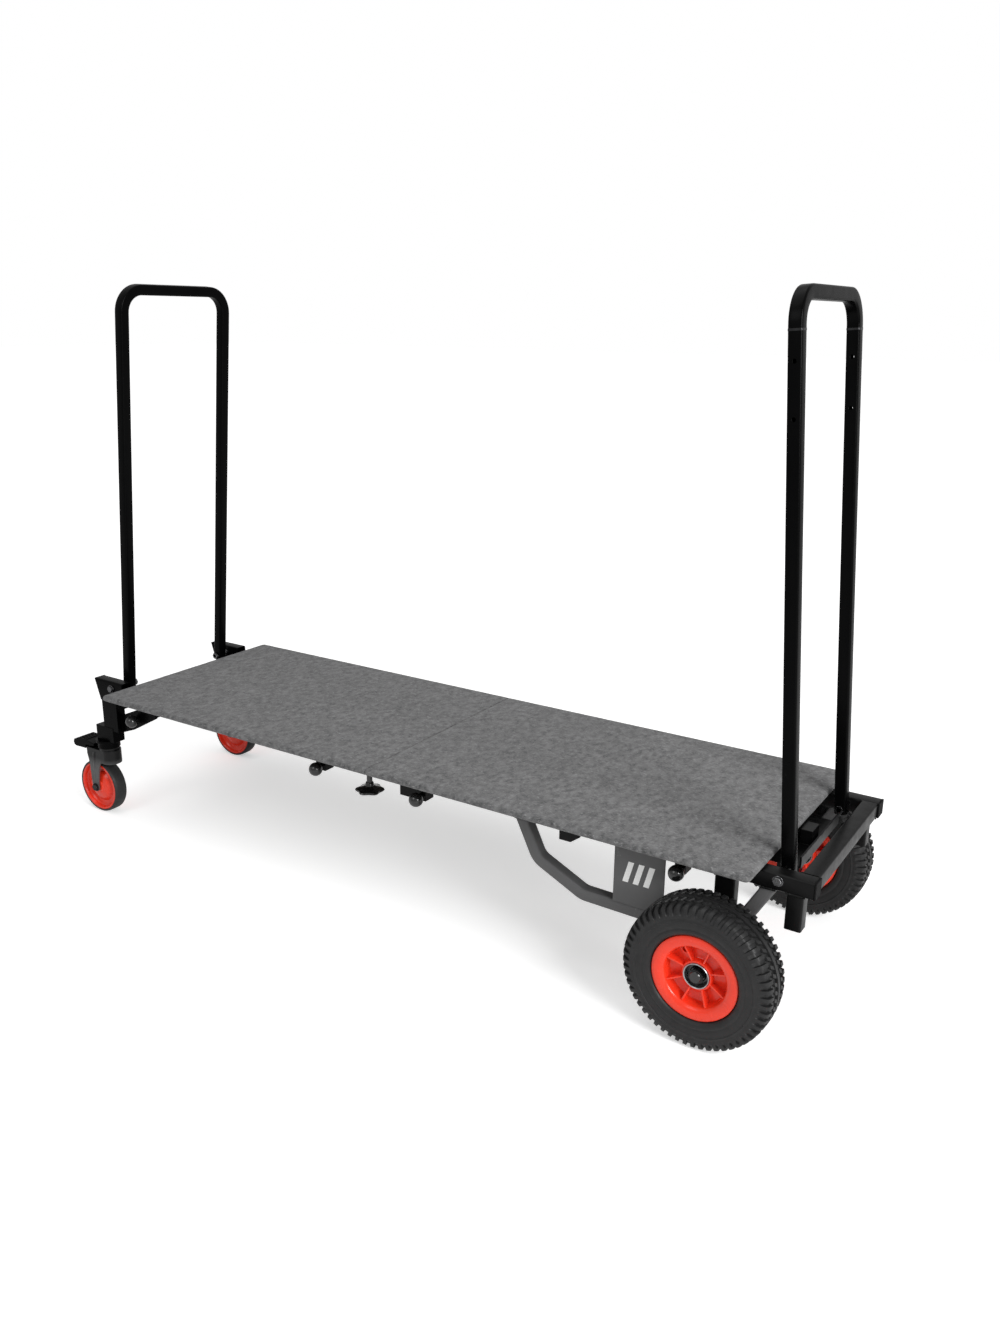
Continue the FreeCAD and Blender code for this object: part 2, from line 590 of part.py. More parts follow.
def plunger(name, side, sign, x, z, block, inner, outer, ball_y="knob_y"):
    """A block with a barrel holds a spring pin whose ball knob is pulled outward."""
    barrel_end, clear = f"{ball_y} - knob_r - 1", "plunger_r + run_gap"
    barrel = rod_y(f"Barrel_{name}_{side}", sign, "6.5", outer, barrel_end, x, z)
    bore = rod_y(f"Bore_{name}_{side}", sign, clear, f"{inner} - 1", ball_y, x, z)
    housing = cut(f"Housing_{name}_{side}", join(f"Body_{name}_{side}", block, barrel), bore)
    stem = rod_y(f"Stem_{name}_{side}", sign, "plunger_r", f"{inner} + 2", ball_y, x, z)
    ball = doc.addObject("Part::Sphere", f"Ball_{name}_{side}")
    bind(ball, Radius="knob_r", x=f"seam_x + {x}", y=f"{sign} * ({ball_y})", z=z)
    keep(join(f"Plunger_{name}_{side}", stem, ball), f"{name}_{side}")
    return housing


def plungers():
    rear_blocks, front_blocks = [], []
    for side, sign in SIDES:
        inner, outer = "rail_outer - rail + 2", "rail_outer - 1"
        for name, (x, z, back, ahead) in PLUNGERS.items():
            block = box(f"Block_{name}_{side}", (f"{x} - {back}", f"{x} + {ahead}"), span(sign, inner, outer),
                        (f"{z} - 8", "rail_top - rail"))
            rear_blocks.append(plunger(name, side, sign, x, z, block, inner, outer))
        x, z = CASTER_LOCK_X, CASTER_LOCK_Z
        inner, outer = "caster_y - 14", "caster_y - 2.5"
        block = box(f"Block_caster_lock_{side}", (f"{x} - 9", f"{x} + 9"), span(sign, inner, outer),
                    (f"{z} - 8", f"{z} + 8"))
        front_blocks.append(plunger("caster_lock", side, sign, x, z, block, inner, outer, "knob_y + 16"))
    keep(group("RearBlocks", *rear_blocks), "rear_lock_blocks")
    keep(group("FrontBlocks", *front_blocks), "caster_lock_blocks")


def clamp_knobs():
    """Lobed hand knobs under the rails that clamp the telescoping tubes."""
    lobes = 6
    for side, sign in SIDES:
        disc = Part.makeCylinder(22, 6)
        bumps = []
        for index in range(lobes):
            angle = 2 * math.pi * index / lobes + math.radians(33)
            bumps.append(Part.makeCylinder(6, 6, Vector(20 * math.cos(angle), 20 * math.sin(angle), 0)))
        boss = Part.makeCone(13, 6, 8, Vector(0, 0, 6))
        stem_top = size("rail_top") - size("rail") - size("clamp_disc_z") - 0.4
        stem = Part.makeCylinder(5, stem_top)
        part = feature(f"ClampKnob_{side}", disc.multiFuse(bumps + [boss, stem]).removeSplitter())
        y = sign * (size("rail_outer") - size("rail") / 2)
        part.Placement = Placement(Vector(shift + size("clamp_x"), y, size("clamp_disc_z")), Rotation())
        keep(part, f"clamp_knob_{side}")


def build():
    rear_rails()
    end_plugs("rear_rail_plugs", ("rear_rail_to", "rear_rail_to + plug_thick"),
              ("rear_rail_to - 14", "rear_rail_to"), ("rail_outer - rail", "rail_outer"), rail_z, "rail_wall")
    rear_cross_members()
    underframes()
    wheel_end_uprights()
    axle()
    big_wheels()
    handle("front", 1, ())
    handle("rear", -1, (83, 154))
    pivot_bolts("front")
    pivot_bolts("rear")
    front_rails()
    front_sleeves()
    sleeve_plugs()
    caster_arms()
    caster_mounts()
    casters()
    deck()
    plungers()
    clamp_knobs()


def check_and_write():
    doc.recompute()
    broken = [o.Name for o in doc.Objects if {"Invalid", "Error"} & set(o.State)]
    broken += [label for label, o in nodes.items() if o.Shape.isNull() or not o.Shape.isValid()]
    if broken:
        raise RuntimeError("objects that failed: " + ", ".join(sorted(broken)))
    os.makedirs("parts", exist_ok=True)
    for label, obj in nodes.items():
        obj.Shape.exportStep(f"parts/{label}.step")
    print(len(nodes), "sub-parts written")


build()
check_and_write()
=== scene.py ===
"""The looks of the convertible hand truck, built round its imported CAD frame, in metres."""
import json
import math

import bmesh
import bpy
from mathutils import Matrix, Vector, noise


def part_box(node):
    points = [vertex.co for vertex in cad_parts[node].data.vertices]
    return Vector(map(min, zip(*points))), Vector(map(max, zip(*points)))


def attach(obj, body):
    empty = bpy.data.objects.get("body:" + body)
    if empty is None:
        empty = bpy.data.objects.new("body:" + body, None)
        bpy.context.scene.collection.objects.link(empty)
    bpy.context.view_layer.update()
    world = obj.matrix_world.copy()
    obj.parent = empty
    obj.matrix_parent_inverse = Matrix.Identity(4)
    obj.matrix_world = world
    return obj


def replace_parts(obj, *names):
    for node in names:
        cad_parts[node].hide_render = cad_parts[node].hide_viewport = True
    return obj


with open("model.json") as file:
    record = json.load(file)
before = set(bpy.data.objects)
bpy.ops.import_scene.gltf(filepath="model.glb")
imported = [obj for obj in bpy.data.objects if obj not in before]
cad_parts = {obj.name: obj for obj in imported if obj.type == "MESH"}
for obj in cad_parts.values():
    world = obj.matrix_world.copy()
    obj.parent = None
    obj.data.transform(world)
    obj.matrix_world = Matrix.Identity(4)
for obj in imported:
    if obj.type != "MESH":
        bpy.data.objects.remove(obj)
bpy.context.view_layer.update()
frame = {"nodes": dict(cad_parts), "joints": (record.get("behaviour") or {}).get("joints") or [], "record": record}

SIDES = (("left", -1), ("right", 1))
BODIES = frame["record"]["behaviour"]["bodies"]
BODY_OF = {node: body for body, nodes in BODIES.items() for node in nodes}
JOINT = {joint["name"]: joint for joint in frame["joints"]}
MM = 0.001
SEAM_X = (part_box("deck_rear")[0].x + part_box("deck_front")[1].x) / 2


def side_box(node, sign):
    """The box of what a node holds on one side of the middle plane."""
    points = [v.co for v in frame["nodes"][node].data.vertices if v.co.y * sign > 0]
    low = Vector([min(p[axis] for p in points) for axis in range(3)])
    high = Vector([max(p[axis] for p in points) for axis in range(3)])
    return low, high


def middle(low, high):
    return (low + high) / 2


def inner_outer(low, high):
    """How far a box's two sides are from the middle plane."""
    return sorted((abs(low.y), abs(high.y)))


# ---- camera, light and floor ----

def make_camera():
    """The main view: a little above the deck, from the left of the big-wheel end."""
    place = Vector((1.1255, -1.5245, 0.9786))
    yaw, pitch, roll = (math.radians(a) for a in (122.7558, -17.0554, 0.5683))
    ahead = Vector((math.cos(pitch) * math.cos(yaw), math.cos(pitch) * math.sin(yaw), math.sin(pitch)))
    level = Vector((math.sin(yaw), -math.cos(yaw), 0))
    upright = level.cross(ahead)
    right = level * math.cos(roll) + upright * math.sin(roll)
    up = upright * math.cos(roll) - level * math.sin(roll)
    data = bpy.data.cameras.new("camera")
    data.sensor_width = 36
    data.lens = 30.40
    camera = bpy.data.objects.new("camera", data)
    camera.matrix_world = Matrix.Translation(place) @ Matrix((right, up, -ahead)).transposed().to_4x4()
    bpy.context.scene.collection.objects.link(camera)
    bpy.context.scene.camera = camera


def area_light(name, place, aim, size, power):
    data = bpy.data.lights.new(name, "AREA")
    data.shape = "SQUARE"
    data.size = size
    data.energy = power
    light = bpy.data.objects.new(name, data)
    light.location = place
    light.rotation_euler = (Vector(aim) - Vector(place)).to_track_quat("-Z", "Y").to_euler()
    bpy.context.scene.collection.objects.link(light)


ROOM_GLOW = 0.32


def make_studio():
    """A white room that lights the cart softly, shines a little more in gloss, and is seen as white."""
    world = bpy.data.worlds.new("studio")
    bpy.context.scene.world = world
    bpy.context.scene.view_settings.view_transform = "Standard"
    world.use_nodes = True
    background = world.node_tree.nodes["Background"]
    background.inputs["Color"].default_value = (1.0, 1.0, 1.0, 1.0)
    nodes, links = world.node_tree.nodes, world.node_tree.links
    rays = nodes.new("ShaderNodeLightPath")
    level = None
    for ray, extra_strength in (("Is Glossy Ray", 0.30), ("Is Camera Ray", 0.68)):
        step = nodes.new("ShaderNodeMath")
        step.operation = "MULTIPLY_ADD"
        step.inputs[1].default_value = extra_strength
        step.inputs[2].default_value = ROOM_GLOW
        links.new(rays.outputs[ray], step.inputs[0])
        if level:
            links.new(level, step.inputs[2])
        level = step.outputs["Value"]
    links.new(level, background.inputs["Strength"])
    area_light("key_light", (3.0, -1.1, 1.7), (0.3, 0, 0.3), 1.4, 88)
    area_light("top_light", (-0.3, -0.2, 3.2), (0, 0, 0.2), 2.4, 26)
    area_light("front_light", (-0.6, -3.2, 2.6), (0, 0, 0.2), 1.6, 20)


# ---- materials ----

class Look:
    """A Principled material whose colour, roughness and relief come from node patterns."""

    def __init__(self, name, **settings):
        self.material = bpy.data.materials.new(name)
        self.material.use_nodes = True
        self.tree = self.material.node_tree
        self.shader = self.tree.nodes["Principled BSDF"]
        for socket, value in settings.items():
            self.shader.inputs[socket.replace("_", " ")].default_value = value
        self.place = self.node("ShaderNodeTexCoord").outputs["Object"]
        self.relief = None

    def node(self, kind, **inputs):
        made = self.tree.nodes.new(kind)
        for name, value in inputs.items():
            self.set(made.inputs[name], value)
        return made

    def set(self, socket, value):
        if isinstance(value, bpy.types.NodeSocket):
            self.tree.links.new(value, socket)
        else:
            socket.default_value = value

    def noise(self, scale, detail=4.0, rough=0.55, stretch=None, turn=0.0):
        """Noise from 0 to 1; scale is in features per metre, stretch squeezes it along one axis."""
        place = self.place
        if stretch:
            mapping = self.node("ShaderNodeMapping", Vector=place)
            mapping.inputs["Rotation"].default_value = (0, 0, turn)
            mapping.inputs["Scale"].default_value = stretch
            place = mapping.outputs["Vector"]
        return self.node("ShaderNodeTexNoise", Vector=place, Scale=scale, Detail=detail,
                         Roughness=rough).outputs["Fac"]

    def ramp(self, value, low, high, at_low=0.0, at_high=1.0):
        made = self.node("ShaderNodeMapRange", Value=value)
        made.inputs["From Min"].default_value = low
        made.inputs["From Max"].default_value = high
        made.inputs["To Min"].default_value = at_low
        made.inputs["To Max"].default_value = at_high
        return made.outputs["Result"]

    def mix(self, share, first, second):
        made = self.tree.nodes.new("ShaderNodeMix")
        made.data_type = "RGBA"
        self.set(made.inputs["Factor"], share)
        for socket, colour in ((made.inputs[6], first), (made.inputs[7], second)):
            self.set(socket, colour if isinstance(colour, bpy.types.NodeSocket) else (*colour, 1.0))
        return made.outputs[2]

    def colour(self, value):
        self.tree.links.new(value, self.shader.inputs["Base Color"])

    def rough(self, value):
        self.tree.links.new(value, self.shader.inputs["Roughness"])

    def bump(self, height, depth, strength=1.0):
        """Add relief of a depth in metres on top of what is there."""
        made = self.node("ShaderNodeBump", Height=height, Strength=strength, Distance=depth)
        if self.relief:
            self.tree.links.new(self.relief, made.inputs["Normal"])
        self.relief = made.outputs["Normal"]
        self.tree.links.new(self.relief, self.shader.inputs["Normal"])


def carpet_look():
    """Needle-felt carpet: mottled grey fibres that cross in every direction."""
    look = Look("carpet_felt", Sheen_Weight=0.2, Sheen_Roughness=0.6, Specular_IOR_Level=0.1)
    patches = look.ramp(look.noise(20, 4, 0.6), 0.36, 0.64, 0.0, 0.42)
    mottle = look.noise(105, 3, 0.55, (1.0, 0.66, 1.0))
    tufts = look.ramp(look.noise(260, 4, 0.65, (1.0, 0.75, 1.0)), 0.36, 0.64)
    shade = look.mix(look.ramp(mottle, 0.34, 0.66), (0.034, 0.034, 0.035), (0.158, 0.158, 0.159))
    shade = look.mix(patches, shade, (0.070, 0.070, 0.071))
    shade = look.mix(look.ramp(tufts, 0, 1, 0.0, 0.34), shade, (0.180, 0.180, 0.181))
    for index, turn in enumerate((0.35, 1.25, 2.15, 2.85)):
        fibre = look.noise(210 + 20 * index, 3, 0.6, (0.6, 1.2, 1.0), turn)
        light = look.ramp(fibre, 0.60, 0.70, 0.0, 0.5)
        shade = look.mix(light, shade, (0.30, 0.30, 0.305) if index % 2 else (0.235, 0.235, 0.24))
        look.bump(fibre, 0.0005, 0.3)
    dark = look.ramp(look.noise(300, 4, 0.6, (0.5, 1.5, 1.0), 1.8), 0.60, 0.70, 0.0, 0.6)
    look.colour(look.mix(dark, shade, (0.030, 0.030, 0.031)))
    look.rough(look.ramp(tufts, 0, 1, 0.88, 1.0))
    look.bump(mottle, 0.0012, 0.6)
    look.bump(look.noise(900, 3, 0.6), 0.0005, 0.6)
    return look.material


def paint_look(name, colour, dust, rough_low, rough_high, peel=0.00012, **settings):
    """Satin powder coat: orange-peel grain, faint dust and fine handling scratches."""
    look = Look(name, **settings)
    cloud = look.ramp(look.noise(9, 5, 0.6), 0.42, 0.72, 0.0, 0.35)
    scratch = look.ramp(look.noise(55, 4, 0.7, (1.0, 0.05, 0.6), 0.4), 0.66, 0.72, 0.0, 0.55)
    shade = look.mix(cloud, colour, dust)
    look.colour(look.mix(scratch, shade, [channel * 1.6 for channel in dust]))
    look.rough(look.ramp(look.noise(60, 4, 0.6), 0.3, 0.7, rough_low, rough_high))
    look.bump(look.noise(750, 2, 0.5), peel, 0.5)
    return look.material


def caster_look():
    """Caster steel: grey fork legs, turning near black above a set height, at the crowns."""
    look = Look("caster_steel_coat", Specular_IOR_Level=0.25)
    bloom = look.ramp(look.noise(60, 5, 0.6), 0.38, 0.7, 0.0, 0.6)
    steel = look.mix(bloom, (0.078, 0.078, 0.079), (0.125, 0.125, 0.126))
    height = look.node("ShaderNodeSeparateXYZ", Vector=look.place).outputs["Z"]
    look.colour(look.mix(look.ramp(height, 0.104, 0.122), steel, (0.004, 0.004, 0.0042)))
    look.rough(look.ramp(look.noise(90, 4, 0.6), 0.3, 0.7, 0.26, 0.38))
    look.bump(look.noise(900, 2, 0.5), 0.0001, 0.5)
    return look.material


def plastic_look(name, colour, shadow, rough_low, rough_high, grain, **settings):
    """Moulded plastic with slight flow marks and a fine grain."""
    look = Look(name, **settings)
    flow = look.ramp(look.noise(16, 4, 0.6, (1.0, 1.0, 3.0)), 0.35, 0.7, 0.0, 0.5)
    look.colour(look.mix(flow, colour, shadow))
    look.rough(look.ramp(look.noise(90, 4, 0.6), 0.3, 0.7, rough_low, rough_high))
    look.bump(look.noise(1500, 2, 0.5), grain, 0.5)
    return look.material


def rubber_look(name, colour, dust):
    look = Look(name, Specular_IOR_Level=0.36)
    bloom = look.ramp(look.noise(45, 6, 0.65), 0.38, 0.7, 0.0, 0.6)
    specks = look.ramp(look.noise(620, 3, 0.6), 0.58, 0.7, 0.0, 0.3)
    shade = look.mix(bloom, colour, dust)
    look.colour(look.mix(specks, shade, [channel * 1.5 for channel in dust]))
    look.rough(look.ramp(look.noise(120, 4, 0.6), 0.3, 0.7, 0.42, 0.58))
    look.bump(look.noise(1100, 3, 0.6), 0.0002, 0.5)
    return look.material


def steel_look(name, colour, dull, rough_low, rough_high):
    """Zinc-plated or machined steel with fine turning lines."""
    look = Look(name, Metallic=1.0)
    bloom = look.ramp(look.noise(120, 5, 0.6), 0.35, 0.68, 0.0, 0.7)
    look.colour(look.mix(bloom, colour, dull))
    look.rough(look.ramp(look.noise(300, 3, 0.6, (1.0, 0.08, 1.0)), 0.3, 0.7, rough_low, rough_high))
    look.bump(look.noise(1800, 2, 0.5, (1.0, 0.1, 1.0)), 0.00004, 0.4)
    return look.material


def board_look():
    """The bare fibreboard inside the carpet's wrapped border."""
    look = Look("board_back")
    grain = look.ramp(look.noise(60, 5, 0.65, (0.15, 1.6, 1.0)), 0.35, 0.68)
    shade = look.mix(grain, (0.055, 0.045, 0.036), (0.10, 0.084, 0.066))
    flecks = look.ramp(look.noise(700, 3, 0.6), 0.6, 0.7, 0.0, 0.6)
    look.colour(look.mix(flecks, shade, (0.17, 0.145, 0.115)))
    look.rough(look.ramp(grain, 0, 1, 0.6, 0.8))
    look.bump(look.noise(500, 3, 0.6), 0.0002, 0.5)
    return look.material


def mark_look():
    """Screen-printed white ink, a little thin in places."""
    look = Look("white_ink")
    thin = look.ramp(look.noise(400, 4, 0.6), 0.3, 0.7)
    look.colour(look.mix(thin, (0.78, 0.78, 0.77), (0.88, 0.88, 0.87)))
    look.rough(look.ramp(thin, 0, 1, 0.4, 0.55))
    return look.material


def floor_look():
    """A pale studio floor that brightens into the backdrop with distance."""
    look = Look("pale_floor", Specular_IOR_Level=0.1, Emission_Color=(1.0, 1.0, 1.0, 1.0))
    soft = look.ramp(look.noise(1.5, 3, 0.5), 0.3, 0.7)
    look.colour(look.mix(soft, (0.90, 0.90, 0.90), (0.92, 0.92, 0.92)))
    look.rough(look.ramp(soft, 0, 1, 0.8, 0.9))
    away = look.node("ShaderNodeVectorMath")
    away.operation = "LENGTH"
    look.set(away.inputs[0], look.place)
    glow = look.node("ShaderNodeMath")
    glow.operation = "MULTIPLY"
    look.set(glow.inputs[0], look.ramp(away.outputs["Value"], 0.7, 3.0, 0.48, 0.85))
    seen = look.node("ShaderNodeLightPath").outputs["Is Camera Ray"]
    look.set(glow.inputs[1], look.ramp(seen, 0, 1, 0.2, 1.0))
    look.set(look.shader.inputs["Emission Strength"], glow.outputs["Value"])
    return look.material


def make_floor():
    bpy.ops.mesh.primitive_plane_add(size=60)
    floor = bpy.context.object
    floor.name = "studio_floor"
    floor.data.materials.append(floor_look())


CARPET = carpet_look()
BOARD = board_look()
WHITE_INK = mark_look()
FINISH = {
    "carpet": CARPET,
    "black_paint": paint_look("powder_coat", (0.0030, 0.0030, 0.0031), (0.0075, 0.0075, 0.0075),
                              0.28, 0.40, Specular_IOR_Level=0.13),
    "caster_steel": caster_look(),
    "black_bolt": steel_look("black_oxide", (0.04, 0.04, 0.042), (0.022, 0.022, 0.022), 0.28, 0.42),
    "bright_steel": steel_look("zinc_steel", (0.72, 0.72, 0.73), (0.52, 0.52, 0.54), 0.18, 0.34),
    "red_plastic": plastic_look("red_plastic", (0.82, 0.042, 0.015), (0.70, 0.026, 0.010), 0.20, 0.30,
                                0.00003, Coat_Weight=0.12, Coat_Roughness=0.1, Specular_IOR_Level=0.35),
    "black_plastic": plastic_look("black_plastic", (0.007, 0.007, 0.0075), (0.013, 0.013, 0.013),
                                  0.16, 0.24, 0.00003, Coat_Weight=0.3, Coat_Roughness=0.08),
    "tyre_rubber": rubber_look("tyre_rubber", (0.0065, 0.0065, 0.0068), (0.0155, 0.0155, 0.0160)),
    "caster_rubber": rubber_look("caster_rubber", (0.016, 0.016, 0.0165), (0.030, 0.030, 0.0305)),
}
HANDLE_PAINT = paint_look("handle_gloss", (0.0010, 0.0010, 0.0011), (0.0030, 0.0030, 0.0030), 0.22, 0.32,
                          0.00002, Specular_IOR_Level=0.045)
PLATE_PAINT = paint_look("plate_paint", (0.098, 0.098, 0.099), (0.134, 0.134, 0.135), 0.5, 0.62,
                         Specular_IOR_Level=0.3)
RACE_STEEL = steel_look("race_steel", (0.40, 0.40, 0.41), (0.26, 0.26, 0.27), 0.24, 0.36)
BOLT_STEEL = steel_look("bolt_steel", (0.13, 0.13, 0.135), (0.06, 0.06, 0.06), 0.18, 0.30)
PLUG_PLASTIC = plastic_look("plug_plastic", (0.006, 0.006, 0.0062), (0.010, 0.010, 0.010), 0.62, 0.74,
                            0.00004, Specular_IOR_Level=0.06)
# CAD nodes whose look isn't their slot's finish, without their side.
OWN_LOOK = {
    "side_plates": PLATE_PAINT, "axle_rings": FINISH["black_bolt"], "rear_rail_plugs": PLUG_PLASTIC,
    "front_sleeve_plugs": PLUG_PLASTIC, "caster_plates": HANDLE_PAINT, "caster_arm": HANDLE_PAINT,
    "brake_pedal": HANDLE_PAINT}
SLOT_OF = {part["node"]: part["material_slot"] for part in frame["record"]["subparts"]}


# ---- shapes ----

class Shape:
    """Points and faces that are put together before they become one mesh."""

    def __init__(self, points=(), faces=(), paint=0):
        self.points = [Vector(p) for p in points]
        self.faces = [tuple(f) for f in faces]
        self.paint = [paint] * len(self.faces)

    def add(self, other):
        start = len(self.points)
        self.points += other.points
        self.faces += [tuple(start + i for i in face) for face in other.faces]
        self.paint += other.paint
        return self

    def cap_ends(self, count):
        """Close a skin's first and last rings, of count points each."""
        last = len(self.points)
        self.faces += [tuple(range(count))[::-1], tuple(range(last - count, last))]
        self.paint += [0, 0]
        return self

    def moved(self, matrix):
        self.points = [matrix @ p for p in self.points]
        return self

    def build(self, name, *materials, sharp=32):
        mesh = bpy.data.meshes.new(name)
        mesh.from_pydata(self.points, [], self.faces)
        mesh.polygons.foreach_set("material_index", self.paint)
        work = bmesh.new()
        work.from_mesh(mesh)
        bmesh.ops.recalc_face_normals(work, faces=work.faces)
        work.to_mesh(mesh)
        work.free()
        mesh.shade_smooth()
        mesh.set_sharp_from_angle(angle=math.radians(sharp))
        for material in materials:
            mesh.materials.append(material)
        made = bpy.data.objects.new(name, mesh)
        bpy.context.scene.collection.objects.link(made)
        return made


def loft(rings, closed=False):
    """Skin between rings of equal length; closed joins the last ring to the first."""
    count = len(rings[0])
    points = [p for ring in rings for p in ring]
    faces = []
    for i in range(len(rings) if closed else len(rings) - 1):
        a, b = i * count, (i + 1) % len(rings) * count
        faces += [(a + k, a + (k + 1) % count, b + (k + 1) % count, b + k) for k in range(count)]
    return Shape(points, faces)


def lathe(profile, steps=48, lobes=0, lobe_depth=0.0):
    """A turned solid about Z from an open (radius, height) profile, capped at both ends."""
    rings, widest = [], max(radius for radius, _ in profile)
    for radius, height in profile:
        ring = []
        for k in range(steps):
            angle = 2 * math.pi * k / steps
            wave = 1 + lobe_depth * math.cos(lobes * angle) * min(1, radius / widest) ** 3
            ring.append(Vector((radius * wave * math.cos(angle), radius * wave * math.sin(angle),
                                height)))
        rings.append(ring)
    return loft(rings).cap_ends(steps)


def ring_lathe(profile, steps=64):
    """A turned ring about Z from a closed (radius, height) profile."""
    turns = [2 * math.pi * k / steps for k in range(steps)]
    return loft([[Vector((r * math.cos(t), r * math.sin(t), h)) for r, h in profile]
                 for t in turns], True)


def rounded(width, height, corner, steps=4):
    """Points round a rectangle with round corners, about its middle."""
    points = []
    for quarter, (a, b) in enumerate(((1, 1), (-1, 1), (-1, -1), (1, -1))):
        for step in range(steps + 1):
            angle = math.pi / 2 * (quarter + step / steps)
            points.append((a * (width / 2 - corner) + corner * math.cos(angle),
                           b * (height / 2 - corner) + corner * math.sin(angle)))
    return points


def bent_path(corners, radius, steps=10):
    """(point, heading) samples along straight runs joined by tangent arcs."""
    samples = [(corners[0], (corners[1] - corners[0]).normalized())]
    for before, corner, after in zip(corners, corners[1:], corners[2:]):
        back, ahead = (before - corner).normalized(), (after - corner).normalized()
        turn = math.pi - back.angle(ahead)
        reach = radius * math.tan(turn / 2)
        centre = corner + (back + ahead).normalized() * (radius / math.cos(turn / 2))
        axis = back.cross(ahead).normalized()
        spoke = corner + back * reach - centre
        for step in range(steps + 1):
            rotation = Matrix.Rotation(-turn * step / steps, 3, axis)
            samples.append((centre + rotation @ spoke, rotation @ -back))
    samples.append((corners[-1], (corners[-1] - corners[-2]).normalized()))
    return samples


def sweep(samples, flat, flat_width, width, corner, wall):
    """A hollow tube with rolled corners along a flat path; flat is the path plane's normal."""
    inner_corner = max(corner - wall, 0.4 * MM)
    skins = []
    for inset, radius in ((0, corner), (wall, inner_corner)):
        section = rounded(flat_width - 2 * inset, width - 2 * inset, radius)
        skins.append([[p + flat * a + flat.cross(t) * b for a, b in section] for p, t in samples])
    outer, inner = skins
    return loft(outer + inner[::-1], True)


def straight_tube(low, high, axis, corner, wall):
    """A hollow tube that fills a box along one axis."""
    centre, size = middle(low, high), high - low
    heading = Vector([1 if i == axis else 0 for i in range(3)])
    flat = Vector((0, 1, 0)) if axis != 1 else Vector((1, 0, 0))
    across = flat.cross(heading)
    half = heading * (size[axis] / 2)
    return sweep([(centre - half, heading), (centre + half, heading)], flat,
                 abs(size.dot(flat)), abs(size.dot(across)), corner, wall)


def metres(profile, face=1):
    """A profile that was given in millimetres, on the outer or the inner face."""
    return [(radius * MM, height * MM * face) for radius, height in profile]


def block(low, high):
    """A plain six-sided block, to be softened by a bevel."""
    across, along, up = zip(low, high)
    corners = [(x, y, z) for x in across for y in along for z in up]
    return Shape(corners, ((0, 1, 3, 2), (4, 6, 7, 5), (0, 4, 5, 1),
                           (2, 3, 7, 6), (0, 2, 6, 4), (1, 5, 7, 3)))


def weld_bead(corners, radius=1.9 * MM, closed=True):
    """A rippled fillet weld that follows a line of corners."""
    run = [Vector(c) for c in corners] + ([Vector(corners[0])] if closed else [])
    bead, pitch, around = Shape(), 2.2 * MM, 7
    for start, end in zip(run, run[1:]):
        heading = (end - start).normalized()
        side = heading.orthogonal().normalized()
        other = heading.cross(side)
        steps = max(2, round((end - start).length / (pitch / 2)))
        leg = []
        for k in range(steps + 1):
            ripple = 0.16 * math.cos(math.pi * k) + 0.1 * noise.noise(start * 900 + heading * k)
            thick = radius * (1 + ripple)
            centre = start.lerp(end, k / steps)
            leg.append([centre + (side * math.cos(a) + other * math.sin(a)) * thick
                        for a in (2 * math.pi * i / around for i in range(around))])
        bead.add(loft(leg).cap_ends(around))
    return bead


def soften(obj, width, segments=2, angle=35):
    """Round a piece's hard edges, as a modifier."""
    bevel = obj.modifiers.new("rounded_edges", "BEVEL")
    bevel.width = width
    bevel.segments = segments
    bevel.limit_method = "ANGLE"
    bevel.angle_limit = math.radians(angle)
    bevel.harden_normals = True
    return obj


def extra(shape, name, slot, body, look=None, rounding=0.0, sharp=32):
    """A new piece on a body, in its slot's finish or a look of its own; rounding is in millimetres."""
    obj = shape.build(name, look or FINISH[slot], sharp=sharp)
    if rounding:
        soften(obj, rounding * MM)
    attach(obj, body)
    return obj


def stand_in(shape, name, slot, node, **looks):
    """A new piece that rides on a node's body and stands for the node."""
    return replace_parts(extra(shape, name, slot, BODY_OF[node], **looks), node)


def stand_in_made(obj, node):
    """The same for a piece that is already built."""
    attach(obj, BODY_OF[node])
    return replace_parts(obj, node)


def y_axis_turn(place, sign):
    """Puts a shape turned about Z on the Y axis at a place, its top facing outward."""
    return Matrix.Translation(place) @ Matrix.Rotation(-sign * math.pi / 2, 4, "X")


# ---- steel frame ----

def make_rails():
    """Straight square tubes, lighter in the front frame."""
    for node, axis in (("rear_rail_left", 0), ("rear_rail_right", 0), ("front_rail_left", 0),
                       ("front_rail_right", 0), ("rear_end_tube", 1), ("rear_cross_tube", 1),
                       ("rear_deck_tube", 1), ("front_cross_tube", 1)):
        corner, wall = (2.4, 1.5) if node.startswith("front") else (3, 2)
        tube = straight_tube(*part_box(node), axis, corner * MM, wall * MM)
        stand_in(tube, node + "_painted", "black_paint", node)


def make_sleeves():
    """Short outer tubes round the front rails' ends, their faces slanting back towards the top."""
    rake, sleeves = 14 * MM, Shape()
    for _, sign in SIDES:
        low, high = side_box("front_sleeves", sign)
        tube = straight_tube(low, high, 0, 4 * MM, 2.5 * MM)
        for point in tube.points:
            if point.x < low.x + 1 * MM:
                point.x += rake * (high.z - point.z) / (high.z - low.z)
        sleeves.add(tube)
    stand_in(sleeves, "front_sleeves_painted", "black_paint", "front_sleeves", look=HANDLE_PAINT)


# The bent tubes' corners, from the deck's seam and above the floor, in millimetres.
UNDER_POINTS = ((268, 236), (299, 172), (380, 134), (604, 131), (624, 152), (672, 236))
UNDER_TUBE = 20 * MM


